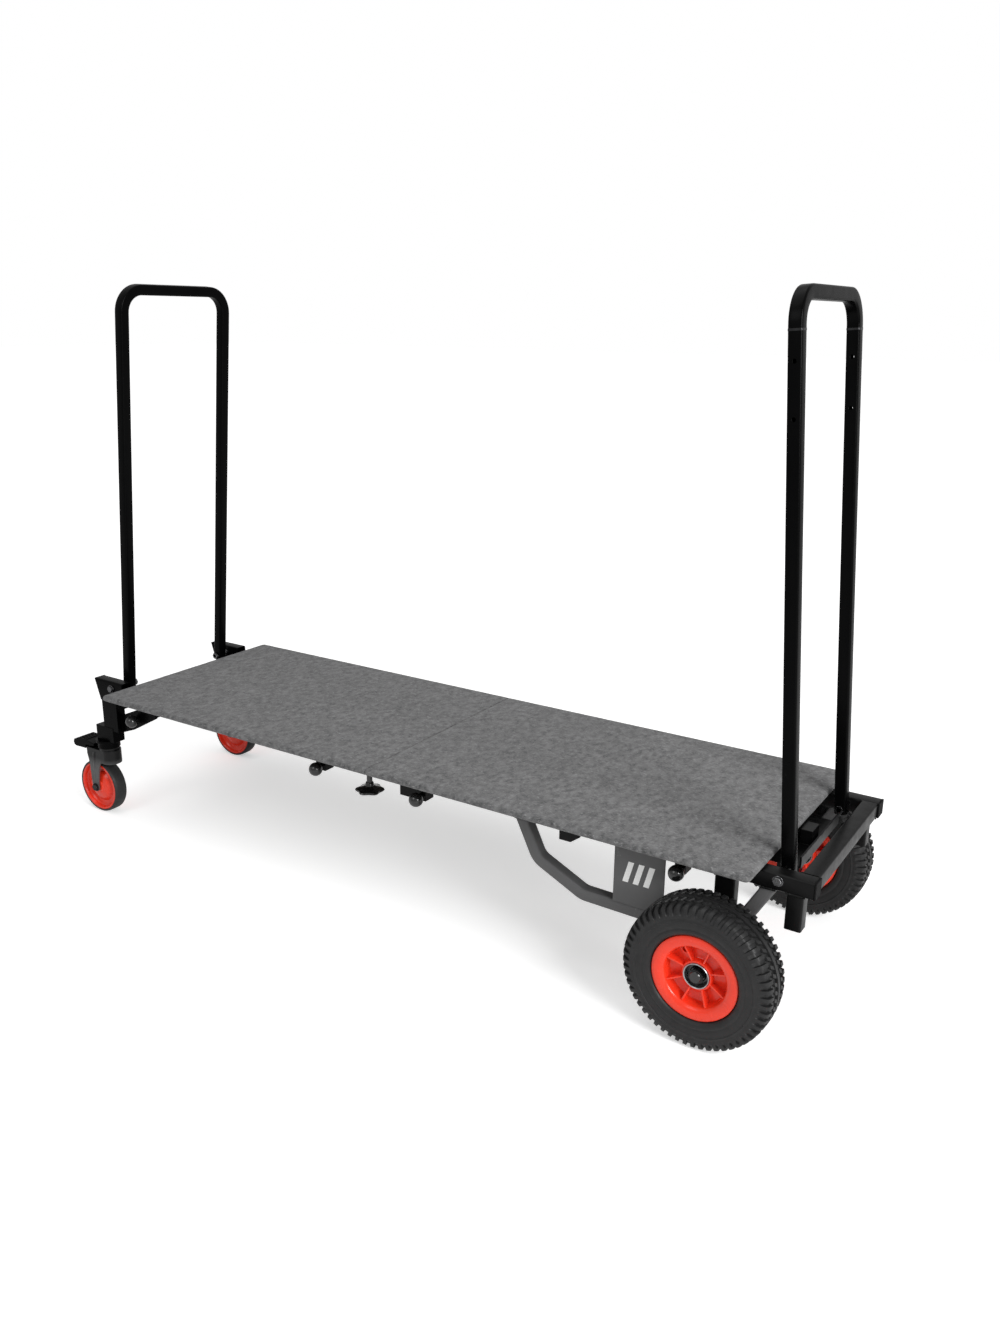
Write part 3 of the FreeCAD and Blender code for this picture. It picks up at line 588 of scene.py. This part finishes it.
def make_underframes():
    """Bent square tubes under the rails, mitred where they meet the rails' undersides."""
    for side, _ in SIDES:
        node = f"underframe_{side}"
        y, top = middle(*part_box(node)).y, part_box(node)[1].z
        corners = [Vector((SEAM_X + x * MM, y, z * MM)) for x, z in UNDER_POINTS]
        ends = ((corners[0], corners[1]), (corners[-1], corners[-2]))
        for end, inner in ends:  # this moves the corners in the list
            end += (end - inner) * ((top - end.z) / (end.z - inner.z))
        tube = sweep(bent_path(corners, 30 * MM), Vector((0, 1, 0)),
                     UNDER_TUBE, UNDER_TUBE, 3 * MM, 1.5 * MM)
        for end, inner in ends:
            along = (end - inner).normalized()
            for point in tube.points:
                if (point - end).length < 15 * MM:
                    point += along * ((top - point.z) / along.z)
        stand_in(tube, node + "_painted", "black_paint", node, look=PLATE_PAINT)


def make_uprights():
    posts, stubs = Shape(), Shape()
    tube_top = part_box("underframe_left")[0].z + UNDER_TUBE
    for _, sign in SIDES:
        low, high = side_box("axle_posts", sign)
        posts.add(straight_tube(Vector((low.x, low.y, tube_top)), high, 2, 3 * MM, 1.5 * MM))
        stubs.add(straight_tube(*side_box("stub_legs", sign), 2, 3 * MM, 1.5 * MM))
    stand_in(posts, "axle_posts_painted", "black_paint", "axle_posts")
    stand_in(stubs, "stub_legs_painted", "black_paint", "stub_legs")


def outline_of(low, high, z):
    return [(low.x, low.y, z), (high.x, low.y, z), (high.x, high.y, z), (low.x, high.y, z)]


def make_welds():
    """Fillet welds where the uprights, cross tubes and bent tubes meet the rails."""
    beads, front_beads = Shape(), Shape()
    tube_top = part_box("underframe_left")[0].z + UNDER_TUBE
    joint_length = 22 * MM
    for side, sign in SIDES:
        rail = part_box(f"rear_rail_{side}")
        inner, under = inner_outer(*rail)[0] * sign, rail[0].z
        for node in ("axle_posts", "stub_legs"):
            beads.add(weld_bead(outline_of(*side_box(node, sign), under)))
        beads.add(weld_bead(outline_of(*side_box("axle_posts", sign), tube_top)))
        for node in ("rear_end_tube", "rear_cross_tube", "rear_deck_tube"):
            low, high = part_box(node)
            beads.add(weld_bead([(low.x, inner, low.z), (low.x, inner, high.z)], closed=False))
            beads.add(weld_bead([(low.x, inner, low.z), (high.x, inner, low.z)], closed=False))
        low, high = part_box(f"underframe_{side}")
        for x in (low.x, high.x - joint_length):
            for y in (low.y, high.y):
                beads.add(weld_bead([(x, y, under), (x + joint_length, y, under)], closed=False))
        low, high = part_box("front_cross_tube")
        inner = inner_outer(*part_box(f"front_rail_{side}"))[0] * sign
        front_beads.add(weld_bead([(low.x, inner, low.z), (high.x, inner, low.z)], closed=False))
        front_beads.add(weld_bead([(high.x, inner, low.z), (high.x, inner, high.z)], closed=False))
    for shape, body in ((beads, "frame"), (front_beads, "front_frame")):
        extra(shape, f"{body}_welds", "black_paint", body, sharp=60)


def make_axle():
    """The axle rod, chamfered at its ends."""
    low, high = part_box("axle")
    radius, half = (high.z - low.z) / 2, (high.y - low.y) / 2
    chamfer = 1.2 * MM
    rod = lathe([(radius - chamfer, -half), (radius, -half + chamfer), (radius, half - chamfer),
                 (radius - chamfer, half), (radius * 0.3, half), (radius * 0.2, half - 1.5 * MM)], 40)
    rod.moved(y_axis_turn(middle(low, high), 1))
    stand_in(rod, "axle_rod", "bright_steel", "axle", look=FINISH["black_bolt"])


def make_side_marks():
    """A plain generic mark on each side plate: three slanted bars."""
    bar_width, bar_tall, lean, pitch, proud = (v * MM for v in (9, 34, 9, 17, 0.25))
    for side, sign in SIDES:
        low, high = side_box("side_plates", sign)
        centre = middle(low, high)
        face = high.y if sign > 0 else low.y
        mark = Shape()
        for index in (-1, 0, 1):
            x = centre.x + index * pitch
            outline = [(x + (a * bar_width + b * lean) / 2, centre.z + b * bar_tall / 2)
                       for a, b in ((-1, -1), (1, -1), (1, 1), (-1, 1))]
            rings = [[Vector((a, y, b)) for a, b in outline] for y in (face, face + sign * proud)]
            mark.add(loft(rings).cap_ends(len(outline)))
        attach(mark.build(f"side_mark_{side}", WHITE_INK), "frame")


# ---- handles and their bolts ----

def drilled(obj, cutters):
    """The piece with holes through it; the cutting rods are thrown away."""
    for cutter in cutters:
        boolean = obj.modifiers.new("hole", "BOOLEAN")
        boolean.operation = "DIFFERENCE"
        boolean.solver = "EXACT"
        boolean.object = cutter
    bpy.context.view_layer.update()
    whole = bpy.data.meshes.new_from_object(obj.evaluated_get(bpy.context.evaluated_depsgraph_get()))
    obj.modifiers.clear()
    obj.data = whole
    whole.shade_smooth()
    whole.set_sharp_from_angle(angle=math.radians(32))
    for cutter in cutters:
        bpy.data.objects.remove(cutter)
    return obj


HANDLE_JOINT = {"front": "front_handle_fold", "rear": "rear_handle_tilt"}


def make_handle(end, lean, hole_drops):
    """A U of square tube with round shoulders that leans in over the deck."""
    node = f"{end}_handle_tube"
    low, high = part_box(node)
    pivot = Vector(JOINT[HANDLE_JOINT[end]]["pos_m"])
    tube, bend = 19 * MM, 40 * MM
    reach = (high.y - low.y - tube) / 2
    rise = (high.z - pivot.z - tube / 2 * (math.cos(lean) + abs(math.sin(lean)))) / math.cos(lean)
    turns = ((-reach, -tube / 2), (-reach, rise), (reach, rise), (reach, -tube / 2))
    corners = [Vector((0, y, z)) for y, z in turns]
    loop = sweep(bent_path(corners, bend, 14), Vector((1, 0, 0)), tube, tube, 3.2 * MM, 1.5 * MM)
    made = loop.build(node + "_painted", HANDLE_PAINT)
    cutters = []
    for drop in hole_drops:
        rod = lathe([(3 * MM, -0.2), (3 * MM, 0.2)], 20)
        rod.moved(y_axis_turn(Vector((0, 0, rise - drop)), 1))
        cutters.append(rod.build("cutter", FINISH["black_paint"]))
    place = Matrix.Translation(pivot) @ Matrix.Rotation(lean, 4, "Y")
    if cutters:
        drilled(made, cutters)
        proud, tall, drop = 0.35 * MM, 3 * MM, 47 * MM
        collars, half, level = Shape(), tube / 2 + proud, rise - drop
        for y in (-reach, reach):
            foot, head = Vector((-half, y - half, level)), Vector((half, y + half, level + tall))
            collars.add(straight_tube(foot, head, 2, 3.4 * MM, 1.2 * MM))
        extra(collars.moved(place), f"{end}_handle_collars", "black_bolt", f"{end}_handle", rounding=0.2)
    made.data.transform(place)
    stand_in_made(made, node)


def hexagon(base, top, radius, chamfer):
    """A bolt head or nut: a hexagon whose top corners are turned down."""
    return lathe([(radius, base), (radius, top - chamfer), (radius - chamfer, top)], 6)


def make_pivot_bolts(end):
    """Each handle's two pivot bolts: hex head, washer, collar and lock nut."""
    node = f"{end}_pivot_bolts"
    pivot = Vector(JOINT[HANDLE_JOINT[end]]["pos_m"])
    bolts = Shape()
    for side, sign in SIDES:
        inner, outer = inner_outer(*side_box(node, sign))
        rail_inner, rail_outer = inner_outer(*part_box(f"rear_rail_{side}"))
        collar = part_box(f"{end}_handle_tube")[1].y + 0.4 * MM
        turned = [
            lathe([(3.9 * MM, inner), (3.9 * MM, outer - 4 * MM)], 24),
            lathe([(7.6 * MM, rail_outer), (8 * MM, rail_outer + 0.4 * MM),
                   (8 * MM, rail_outer + 1.2 * MM), (7.4 * MM, rail_outer + 1.6 * MM)], 40),
            lathe([(7.4 * MM, collar), (8 * MM, collar + 0.6 * MM),
                   (8 * MM, rail_inner - 0.6 * MM), (7.4 * MM, rail_inner)], 40),
            hexagon(rail_outer + 1.6 * MM, outer, 7 * MM, 0.9 * MM),
            hexagon(inner, inner + 5.4 * MM, 7 * MM, 0.8 * MM)]
        for shape in turned:
            bolts.add(shape.moved(y_axis_turn(Vector((pivot.x, 0, pivot.z)), sign)))
    stand_in(bolts, node + "_hex", "black_bolt", node, look=BOLT_STEEL, rounding=0.25)


# ---- big wheels ----

# Half the tyre's section, from crown to bead: across, radius, then lug depth and skew.
TYRE_HALF = (
    (0, 111.2), (3.2, 111.2), (4.1, 107.6), (6.4, 107.4, 0, 0.1), (7.2, 111.2, 3.6, 0.2),
    (14.6, 110.8, 3.7, 0.55), (15.4, 107.2, 0, 0.6), (17.0, 107.0, 0, 0.3), (17.8, 110.5, 3.7, 0),
    (24.0, 109.7, 3.9, 0.06), (28.6, 108.6, 3.9, 0.12), (30.8, 106.9, 3.8, 0.15),
    (32.4, 104.0, 3.5, 0.18), (33.6, 100.6, 2.7, 0.2), (34.2, 97.6, 1.3, 0.22), (34.5, 95.4, 0, 0.22),
    (34.5, 92.0, 0, 0.2), (34.4, 89.8, 0, 0.1), (35.0, 88.9), (35.0, 87.6), (34.3, 86.8), (34.5, 82.0),
    (34.2, 77.4), (33.7, 76.6), (33.7, 75.4), (34.3, 74.6), (34.2, 72.0), (33.4, 69.6), (32.2, 67.6),
    (30.8, 66.2), (29.2, 65.2), (27.0, 64.6))
# Across one pitch of the tread: place, and how much of the lug depth is cut away there.
LUG_STEPS = ((0, 1), (0.06, 0), (0.28, 0), (0.5, 0), (0.56, 1), (0.78, 1))


def make_tyre(side, sign):
    """A pneumatic tyre with a centre rib, two rows of blocks and bar lugs over the shoulders."""
    node, lugs = f"tyre_{side}", 56
    half = [(*row, 0, 0)[:4] for row in TYRE_HALF]
    profile = [(-y, r, d, -s) for y, r, d, s in half[:0:-1]] + half
    across = []
    for k, (y, radius, depth, skew) in enumerate(profile):
        before, after = profile[max(k - 1, 0)], profile[min(k + 1, len(profile) - 1)]
        inward = Vector((after[1] - before[1], before[0] - after[0])).normalized()
        phase = skew + (0.5 if y < 0 else 0.0)
        across.append((y, radius, depth, phase, inward))
    rings = []
    for lug in range(lugs):
        for place, cut_away in LUG_STEPS:
            ring = []
            for y, radius, depth, phase, inward in across:
                turn = 2 * math.pi * (lug + place + phase) / lugs
                low = depth * cut_away
                r = (radius + inward.y * low) * MM
                ring.append(Vector((r * math.cos(turn), r * math.sin(turn), (y + inward.x * low) * MM)))
            rings.append(ring)
    tyre = loft(rings, True).moved(y_axis_turn(middle(*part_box(node)), sign))
    stand_in(tyre, node + "_treaded", "tyre_rubber", node, sharp=40)


# Half the rim's section, from bead to bearing: radius, half width.
RIM_FACE = (
    (64.4, 25.0), (64.4, 28.0), (63.7, 29.6), (61.8, 30.6), (58.5, 30.8), (54.0, 30.2), (50.0, 29.0),
    (47.4, 27.3), (46.0, 25.2), (45.4, 22.0), (44.6, 14.0), (43.4, 10.8), (41.0, 9.8), (32.0, 9.4),
    (26.0, 9.8), (23.4, 11.6), (22.4, 19.0), (21.8, 20.0), (20.8, 20.4), (19.6, 20.2), (19.5, 10.0))


def make_rim(side, sign):
    """A glossy moulded rim: a broad lip, a recessed web with ribs, and a valve hole."""
    node, ribs = f"rim_{side}", 8
    profile = metres(RIM_FACE)
    profile += [(r, -h) for r, h in profile[::-1]]
    place = y_axis_turn(middle(*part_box(node)), sign)
    made = ring_lathe(profile, 96).moved(place).build(node + "_lip", FINISH["red_plastic"])
    hole_turn, hole_radius, through = math.radians(-121 * sign), 4.2 * MM, 60 * MM
    hole_at = Vector((math.cos(hole_turn), math.sin(hole_turn), 0)) * 38.5 * MM
    cutter = lathe([(hole_radius, -through), (hole_radius, through)], 28)
    cutter.moved(Matrix.Translation(hole_at))
    drilled(made, [cutter.moved(place).build("cutter", FINISH["red_plastic"])])
    stand_in_made(made, node)
    webs, thick = Shape(), 1.3 * MM
    outline = ((21.8, 8.8), (45.2, 8.8), (46.4, 24.6), (44.0, 24.8), (30.0, 21.0), (21.8, 19.4))
    for face in (-1, 1):
        for k in range(ribs):
            turn = 2 * math.pi * (k + 0.5) / ribs
            rings = [[Vector((r * MM, y, h * MM * face)) for r, h in outline] for y in (-thick, thick)]
            rib = loft(rings).cap_ends(len(outline))
            webs.add(rib.moved(Matrix.Rotation(turn, 4, "Z")))
        boss = ((4.2, 8.8), (4.2, 15.5), (5.0, 16.2), (6.6, 15.8), (7.4, 8.8))
        boss = ring_lathe(metres(boss, face), 32)
        webs.add(boss.moved(Matrix.Translation(hole_at)))
    extra(webs.moved(place), node + "_ribs", "red_plastic", f"wheel_{side}", rounding=0.6)


# Sections of a bearing's outer race and of its seal: radius, half width.
RACE = ((19.4, 10), (19.4, 21.8), (18.9, 22.4), (18.1, 22.4), (17.4, 21.8), (17.4, 10))
SEAL = ((17.4, 10), (17.4, 13), (16.2, 13.6), (12.4, 13.6), (11.4, 12.4),
        (10.6, 14.2), (7.8, 14.2), (7.7, 10))


def make_bearings(side, sign):
    """Sealed ball bearings: a bright outer race, and dark seals set deep inside it."""
    node = f"wheel_bearings_{side}"
    place = y_axis_turn(middle(*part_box(f"rim_{side}")), sign)
    races, seals = Shape(), Shape()
    for shape, section in ((races, RACE), (seals, SEAL)):
        for face in (-1, 1):
            shape.add(ring_lathe(metres(section, face), 64))
        shape.moved(place)
    stand_in(races, node + "_races", "bright_steel", node, look=RACE_STEEL)
    extra(seals, node + "_seals", "black_plastic", f"wheel_{side}")


def make_axle_caps(side, sign):
    """The black lock nut and washer that hold the wheel on the axle's end."""
    axle_end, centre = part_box("axle")[1].y, middle(*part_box(f"rim_{side}"))
    profile = ((10.6, -3), (10.8, -2), (10.8, -1), (8.8, -0.6), (8.6, 1.2), (7.8, 2.2), (4, 2.6))
    cap = lathe([(r * MM, axle_end + out * MM) for r, out in profile], 40)
    cap.moved(y_axis_turn(Vector((centre.x, 0, centre.z)), sign))
    extra(cap, f"axle_cap_{side}", "black_plastic", "frame")


# ---- casters ----

# Half sections of the caster's tyre and red disc: radius, half width.
CASTER_TREAD = ((50.0, 12.6), (51.2, 13.8), (52.6, 13.6), (54.2, 11.6), (54.9, 8.5), (55.0, 0.0))
CASTER_DISC = (
    (5.1, 15.0), (12.0, 15.0), (13.4, 14.6), (14.6, 13.2), (24.0, 11.4), (28.0, 9.8), (30.4, 6.6),
    (34.0, 4.2), (41.0, 4.4), (44.0, 7.0), (45.2, 11.8), (46.4, 13.5), (49.0, 13.5), (50.0, 12.6))


def make_caster_wheel(side, sign):
    """A flat-treaded tyre on a red disc with a dished web."""
    node = f"caster_tyre_{side}"
    place = y_axis_turn(middle(*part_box(node)), sign)
    tread = metres(CASTER_TREAD)
    tread += [(r, -h) for r, h in tread[-2::-1]]
    tyre = ring_lathe(tread, 96).moved(place)
    stand_in(tyre, node + "_tread", "caster_rubber", node)
    disc = metres(CASTER_DISC)
    disc += [(r, -h) for r, h in disc[::-1]]
    rim = f"caster_rim_{side}"
    stand_in(ring_lathe(disc, 96).moved(place), rim + "_disc", "red_plastic", rim)


def make_caster_bolt(side):
    """The caster's axle bolt with a hex head on one cheek and a lock nut on the other."""
    node = f"caster_bolt_{side}"
    low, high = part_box(node)
    centre, half = middle(low, high), (high.y - low.y) / 2
    cheek = half - 4.5 * MM
    bolt = lathe([(4.9 * MM, -half + 2 * MM), (4.9 * MM, half - 2 * MM)], 32)
    for face in (-1, 1):
        turn = Matrix.Rotation(0 if face > 0 else math.pi, 4, "X")
        washer = lathe([(8.4 * MM, cheek), (8.6 * MM, cheek + 0.3 * MM), (8.6 * MM, cheek + 1.0 * MM),
                        (8.2 * MM, cheek + 1.2 * MM)], 40)
        nut = hexagon(cheek + 1.2 * MM, half, 7.6 * MM, 0.8 * MM)
        bolt.add(washer.moved(turn)).add(nut.moved(turn))
    stand_in(bolt.moved(y_axis_turn(centre, 1)), node + "_hex", "black_bolt", node, rounding=0.25)


def make_fork_creases(side):
    """The pressed crease that stiffens each of a fork's legs."""
    low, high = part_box(f"caster_fork_{side}")
    axle = middle(*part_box(f"caster_bolt_{side}"))
    section = ((-1, -0.3), (-0.6, 0.5), (0, 1), (0.6, 0.5), (1, -0.3))
    stations = ((6, high.z - 12 * MM, 4.5, 0.2), (4, high.z - 18 * MM, 4.5, 1.3),
                (1, axle.z + 32 * MM, 3.4, 1.4), (0, axle.z + 13 * MM, 2.4, 1.0),
                (0, axle.z + 9 * MM, 1.6, 0.1))
    creases = Shape()
    for face, y in ((-1, low.y), (1, high.y)):
        rings = []
        for x, z, wide, proud in stations:
            rings.append([Vector((axle.x + x * MM + a * wide * MM, y + face * b * proud * MM, z))
                          for a, b in section])
        creases.add(loft(rings).cap_ends(len(section)))
    extra(creases, f"fork_creases_{side}", "caster_steel", f"caster_{side}", sharp=60)


def make_pedal_ribs(side):
    """Raised grip ribs across the top of a brake pedal."""
    low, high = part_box(f"brake_pedal_{side}")
    ribs, first, pitch, wide, inset = Shape(), 18 * MM, 6.5 * MM, 2.4 * MM, 3 * MM
    for k in range(4):
        x = low.x + first + pitch * k
        ribs.add(block((x, low.y + inset, high.z - 0.5 * MM),
                       (x + wide, high.y - inset, high.z + 1 * MM)))
    extra(ribs, f"pedal_ribs_{side}", "black_paint", f"brake_{side}", look=HANDLE_PAINT, rounding=0.5)


# ---- knobs ----

def make_plunger(name, side, sign):
    """A spring plunger's pin with its moulded ball knob."""
    node = f"{name}_{side}"
    low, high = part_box(node)
    centre, ball = middle(low, high), (high.z - low.z) / 2
    inner, outer = inner_outer(low, high)
    ball_at, steps = outer - ball, 14
    profile = [(2.6 * MM, inner), (3.9 * MM, inner + 1.5 * MM), (3.9 * MM, ball_at - ball - 0.4 * MM),
               (5.6 * MM, ball_at - ball - 0.2 * MM), (5.8 * MM, ball_at - ball * 0.80)]
    for k in range(3, steps + 1):
        angle = math.pi * k / steps
        profile.append((max(ball * math.sin(angle), 0.02 * MM), ball_at - ball * math.cos(angle)))
    knob = lathe(profile, 40).moved(y_axis_turn(Vector((centre.x, 0, centre.z)), sign))
    stand_in(knob, node + "_knob", "black_plastic", node)


def make_clamp_knob(side):
    """A lobed hand knob that hangs from its screw under the rail."""
    node = f"clamp_knob_{side}"
    low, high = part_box(node)
    centre = middle(low, high)
    reach = (high.y - low.y) / 2 / 1.1  # the lobes swell to nearly a tenth more
    lobes = ((0.8, 1.2), (0.95, 2.6), (1, 4.4), (0.96, 6.2), (0.8, 8.0))
    neck = ((10.5, 10.4), (8, 12.6), (7, 17.5), (6.2, 18.6), (4.9, 18.8))
    profile = metres(((2, 0.9), (9, 0.2))) + [(reach * r, h * MM) for r, h in lobes]
    profile += metres(neck) + [(4.9 * MM, high.z - low.z)]
    knob = lathe(profile, 72, lobes=6, lobe_depth=0.09)
    turn = Matrix.Rotation(math.radians(33), 4, "Z")
    knob.moved(Matrix.Translation((centre.x, centre.y, low.z)) @ turn)
    stand_in(knob, node + "_lobed", "black_plastic", node)


# ---- deck ----

def make_deck_panel(node):
    """A board in felt carpet: bull-nosed outside, crisp at the seam, bare inside the wrap below."""
    low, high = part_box(node)
    spacing, fold, wrap = 4 * MM, (high.z - low.z) / 2, 34 * MM
    centre, half = middle(low, high), (high - low) / 2
    corner, seam_fold, nap_height = 9 * MM, 1.5 * MM, 0.45 * MM
    at_seam = -1 if node == "deck_rear" else 1
    bull_steps = [fold * (1 - math.cos(math.pi / 2 * k / 5)) for k in range(6)] + [corner]
    seam_steps = [0.0, 0.02 * MM, 0.2 * MM, 0.7 * MM, seam_fold]

    def lines(length, first, last):
        """Grid lines along one direction, close together in the folds at both ends."""
        start, end = first[-1], length - last[-1]
        count = round((end - start) / spacing)
        places = first + [start + (end - start) * k / count for k in range(1, count)]
        return [p - length / 2 for p in places + [length - d for d in last[::-1]]]

    def quarter_round(radius, inward):
        """How far a rounded edge has dropped at a distance in from its side."""
        inward = max(0.0, min(inward, radius))
        return radius - math.sqrt(max(radius * radius - (radius - inward) ** 2, 0))

    def plan(x, y):
        """A point of the flat outline and its distance from the rounded sides."""
        a, b = (-x * at_seam - (half.x - corner)) / corner, (abs(y) - (half.y - corner)) / corner
        if a <= 0 or b <= 0:
            return x, y, min(half.x + x * at_seam, half.y - abs(y))
        a, b = a * math.sqrt(1 - b * b / 2), b * math.sqrt(1 - a * a / 2)
        return (-at_seam * (half.x - corner + a * corner), math.copysign(half.y - corner + b * corner, y),
                corner * (1 - math.hypot(a, b)))

    ends = (seam_steps, bull_steps) if at_seam < 0 else (bull_steps, seam_steps)
    across, along = lines(2 * half.x, *ends), lines(2 * half.y, bull_steps, bull_steps)
    columns, rows = len(across) - 1, len(along) - 1
    shape, index_of = Shape(), {}
    for level in (1, -1):
        for i in range(columns + 1):
            for j in range(rows + 1):
                edge = i in (0, columns) or j in (0, rows)
                if edge and level < 0:
                    index_of[i, j, level] = index_of[i, j, 1]
                    continue
                x, y, inward = plan(across[i], along[j])
                from_seam = half.x - across[i] * at_seam
                drop = max(quarter_round(fold, inward), quarter_round(seam_fold, from_seam))
                drop = fold if edge else drop
                at = Vector((centre.x + x, centre.y + y, 0))
                nap = sum(share * noise.noise(at * scale)
                          for share, scale in ((0.30, 55), (0.30, 160), (0.35, 420)))
                z = centre.z + level * max(fold - drop - nap_height + nap_height * nap, 0)
                index_of[i, j, level] = len(shape.points)
                shape.points.append(Vector((at.x, at.y, z)))
        for i in range(columns):
            for j in range(rows):
                ring = ((i, j), (i + 1, j), (i + 1, j + 1), (i, j + 1))
                square = [index_of[a, b, level] for a, b in ring]
                if len(set(square)) == 4:
                    mid = sum((shape.points[k] for k in square), Vector()) / 4 - centre
                    inside = min(half.x - abs(mid.x), half.y - abs(mid.y))
                    shape.faces.append(tuple(square))
                    shape.paint.append(1 if level < 0 and inside > wrap else 0)
    made = shape.build(node + "_carpeted", CARPET, BOARD, sharp=180)
    stand_in_made(made, node)


def make_seam_web():
    """The carpet that joins the two boards hangs between them and closes the gap."""
    front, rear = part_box("deck_front")[1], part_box("deck_rear")
    inset, clear, overlap = 5 * MM, 0.05 * MM, 0.3 * MM
    web = block((front.x + clear, rear[0].y + inset, middle(*rear).z - 2 * MM),
                (rear[0].x + overlap, rear[1].y - inset, rear[1].z - 1.5 * MM))
    extra(web, "deck_seam_web", "carpet", "frame")


def make_staples(node, body):
    """Staples hold the carpet's wrapped border to the board's back."""
    low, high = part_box(node)
    inset, pitch, crown, wire = 26 * MM, 62 * MM, 5.5 * MM, 0.6 * MM
    z, staples = low.z + 0.3 * MM, Shape()
    x, y, far_x, far_y = low.x + inset, low.y + inset, high.x - inset, high.y - inset
    for line in ((x, y, far_x, y), (x, far_y, far_x, far_y),
                 (x, y, x, far_y), (far_x, y, far_x, far_y)):
        a, b = Vector(line[:2]), Vector(line[2:])
        along = (b - a).normalized()
        count = int((b - a).length / pitch)
        for k in range(count + 1):
            mid = a.lerp(b, (k + 0.5) / (count + 1))
            reach = along * crown
            half = Vector((abs(reach.x) + wire, abs(reach.y) + wire))
            staples.add(block((mid.x - half.x, mid.y - half.y, z - wire),
                              (mid.x + half.x, mid.y + half.y, z + 3 * wire)))
    extra(staples, f"{node}_staples", "bright_steel", body, rounding=0.2)


# ---- CAD nodes that stay ----

# How far their edges are rounded, in millimetres; the names are without a side here too.
SOFTENED = {
    "rear_rail_plugs": 1.2, "front_sleeve_plugs": 1.4, "axle_blocks": 1.0, "side_plates": 0.8,
    "deck_clips": 0.8, "rear_lock_blocks": 0.9, "caster_lock_blocks": 0.9, "rear_catch_plate": 0.8,
    "caster_arm": 1.2, "caster_plates": 0.9, "caster_fork": 0.9, "brake_pedal": 1.0,
    "caster_kingpins": 0.5, "axle_rings": 0.3, "axle_spacers": 0.4}


def finish_cad_nodes():
    """The remaining CAD nodes get their slot's finish and rounded edges."""
    for node, obj in frame["nodes"].items():
        kind = node.removesuffix("_left").removesuffix("_right")
        obj.data.materials.clear()
        obj.data.materials.append(OWN_LOOK.get(kind, FINISH[SLOT_OF[node]]))
        if obj.hide_render or kind not in SOFTENED:
            continue
        weld = obj.modifiers.new("weld", "WELD")
        weld.merge_threshold = 0.01 * MM
        flat = obj.modifiers.new("flat_faces", "DECIMATE")
        flat.decimate_type = "DISSOLVE"
        flat.angle_limit = math.radians(1)
        soften(obj, SOFTENED[kind] * MM)
        weighted = obj.modifiers.new("even_shading", "WEIGHTED_NORMAL")
        weighted.keep_sharp = False


make_camera()
make_studio()
make_floor()
make_rails()
make_sleeves()
make_underframes()
make_uprights()
make_welds()
make_axle()
make_side_marks()
make_handle("front", math.radians(5.8), ())
make_handle("rear", math.radians(-4.2), (83 * MM, 154 * MM))
make_pivot_bolts("front")
make_pivot_bolts("rear")
for side, sign in SIDES:
    make_tyre(side, sign)
    make_rim(side, sign)
    make_bearings(side, sign)
    make_axle_caps(side, sign)
    make_caster_wheel(side, sign)
    make_caster_bolt(side)
    make_fork_creases(side)
    make_pedal_ribs(side)
    make_clamp_knob(side)
    for name in ("slide_stop", "slide_lock", "deck_lock", "caster_lock"):
        make_plunger(name, side, sign)
for node in ("deck_front", "deck_rear"):
    make_deck_panel(node)
    make_staples(node, BODY_OF[node])
make_seam_web()
finish_cad_nodes()
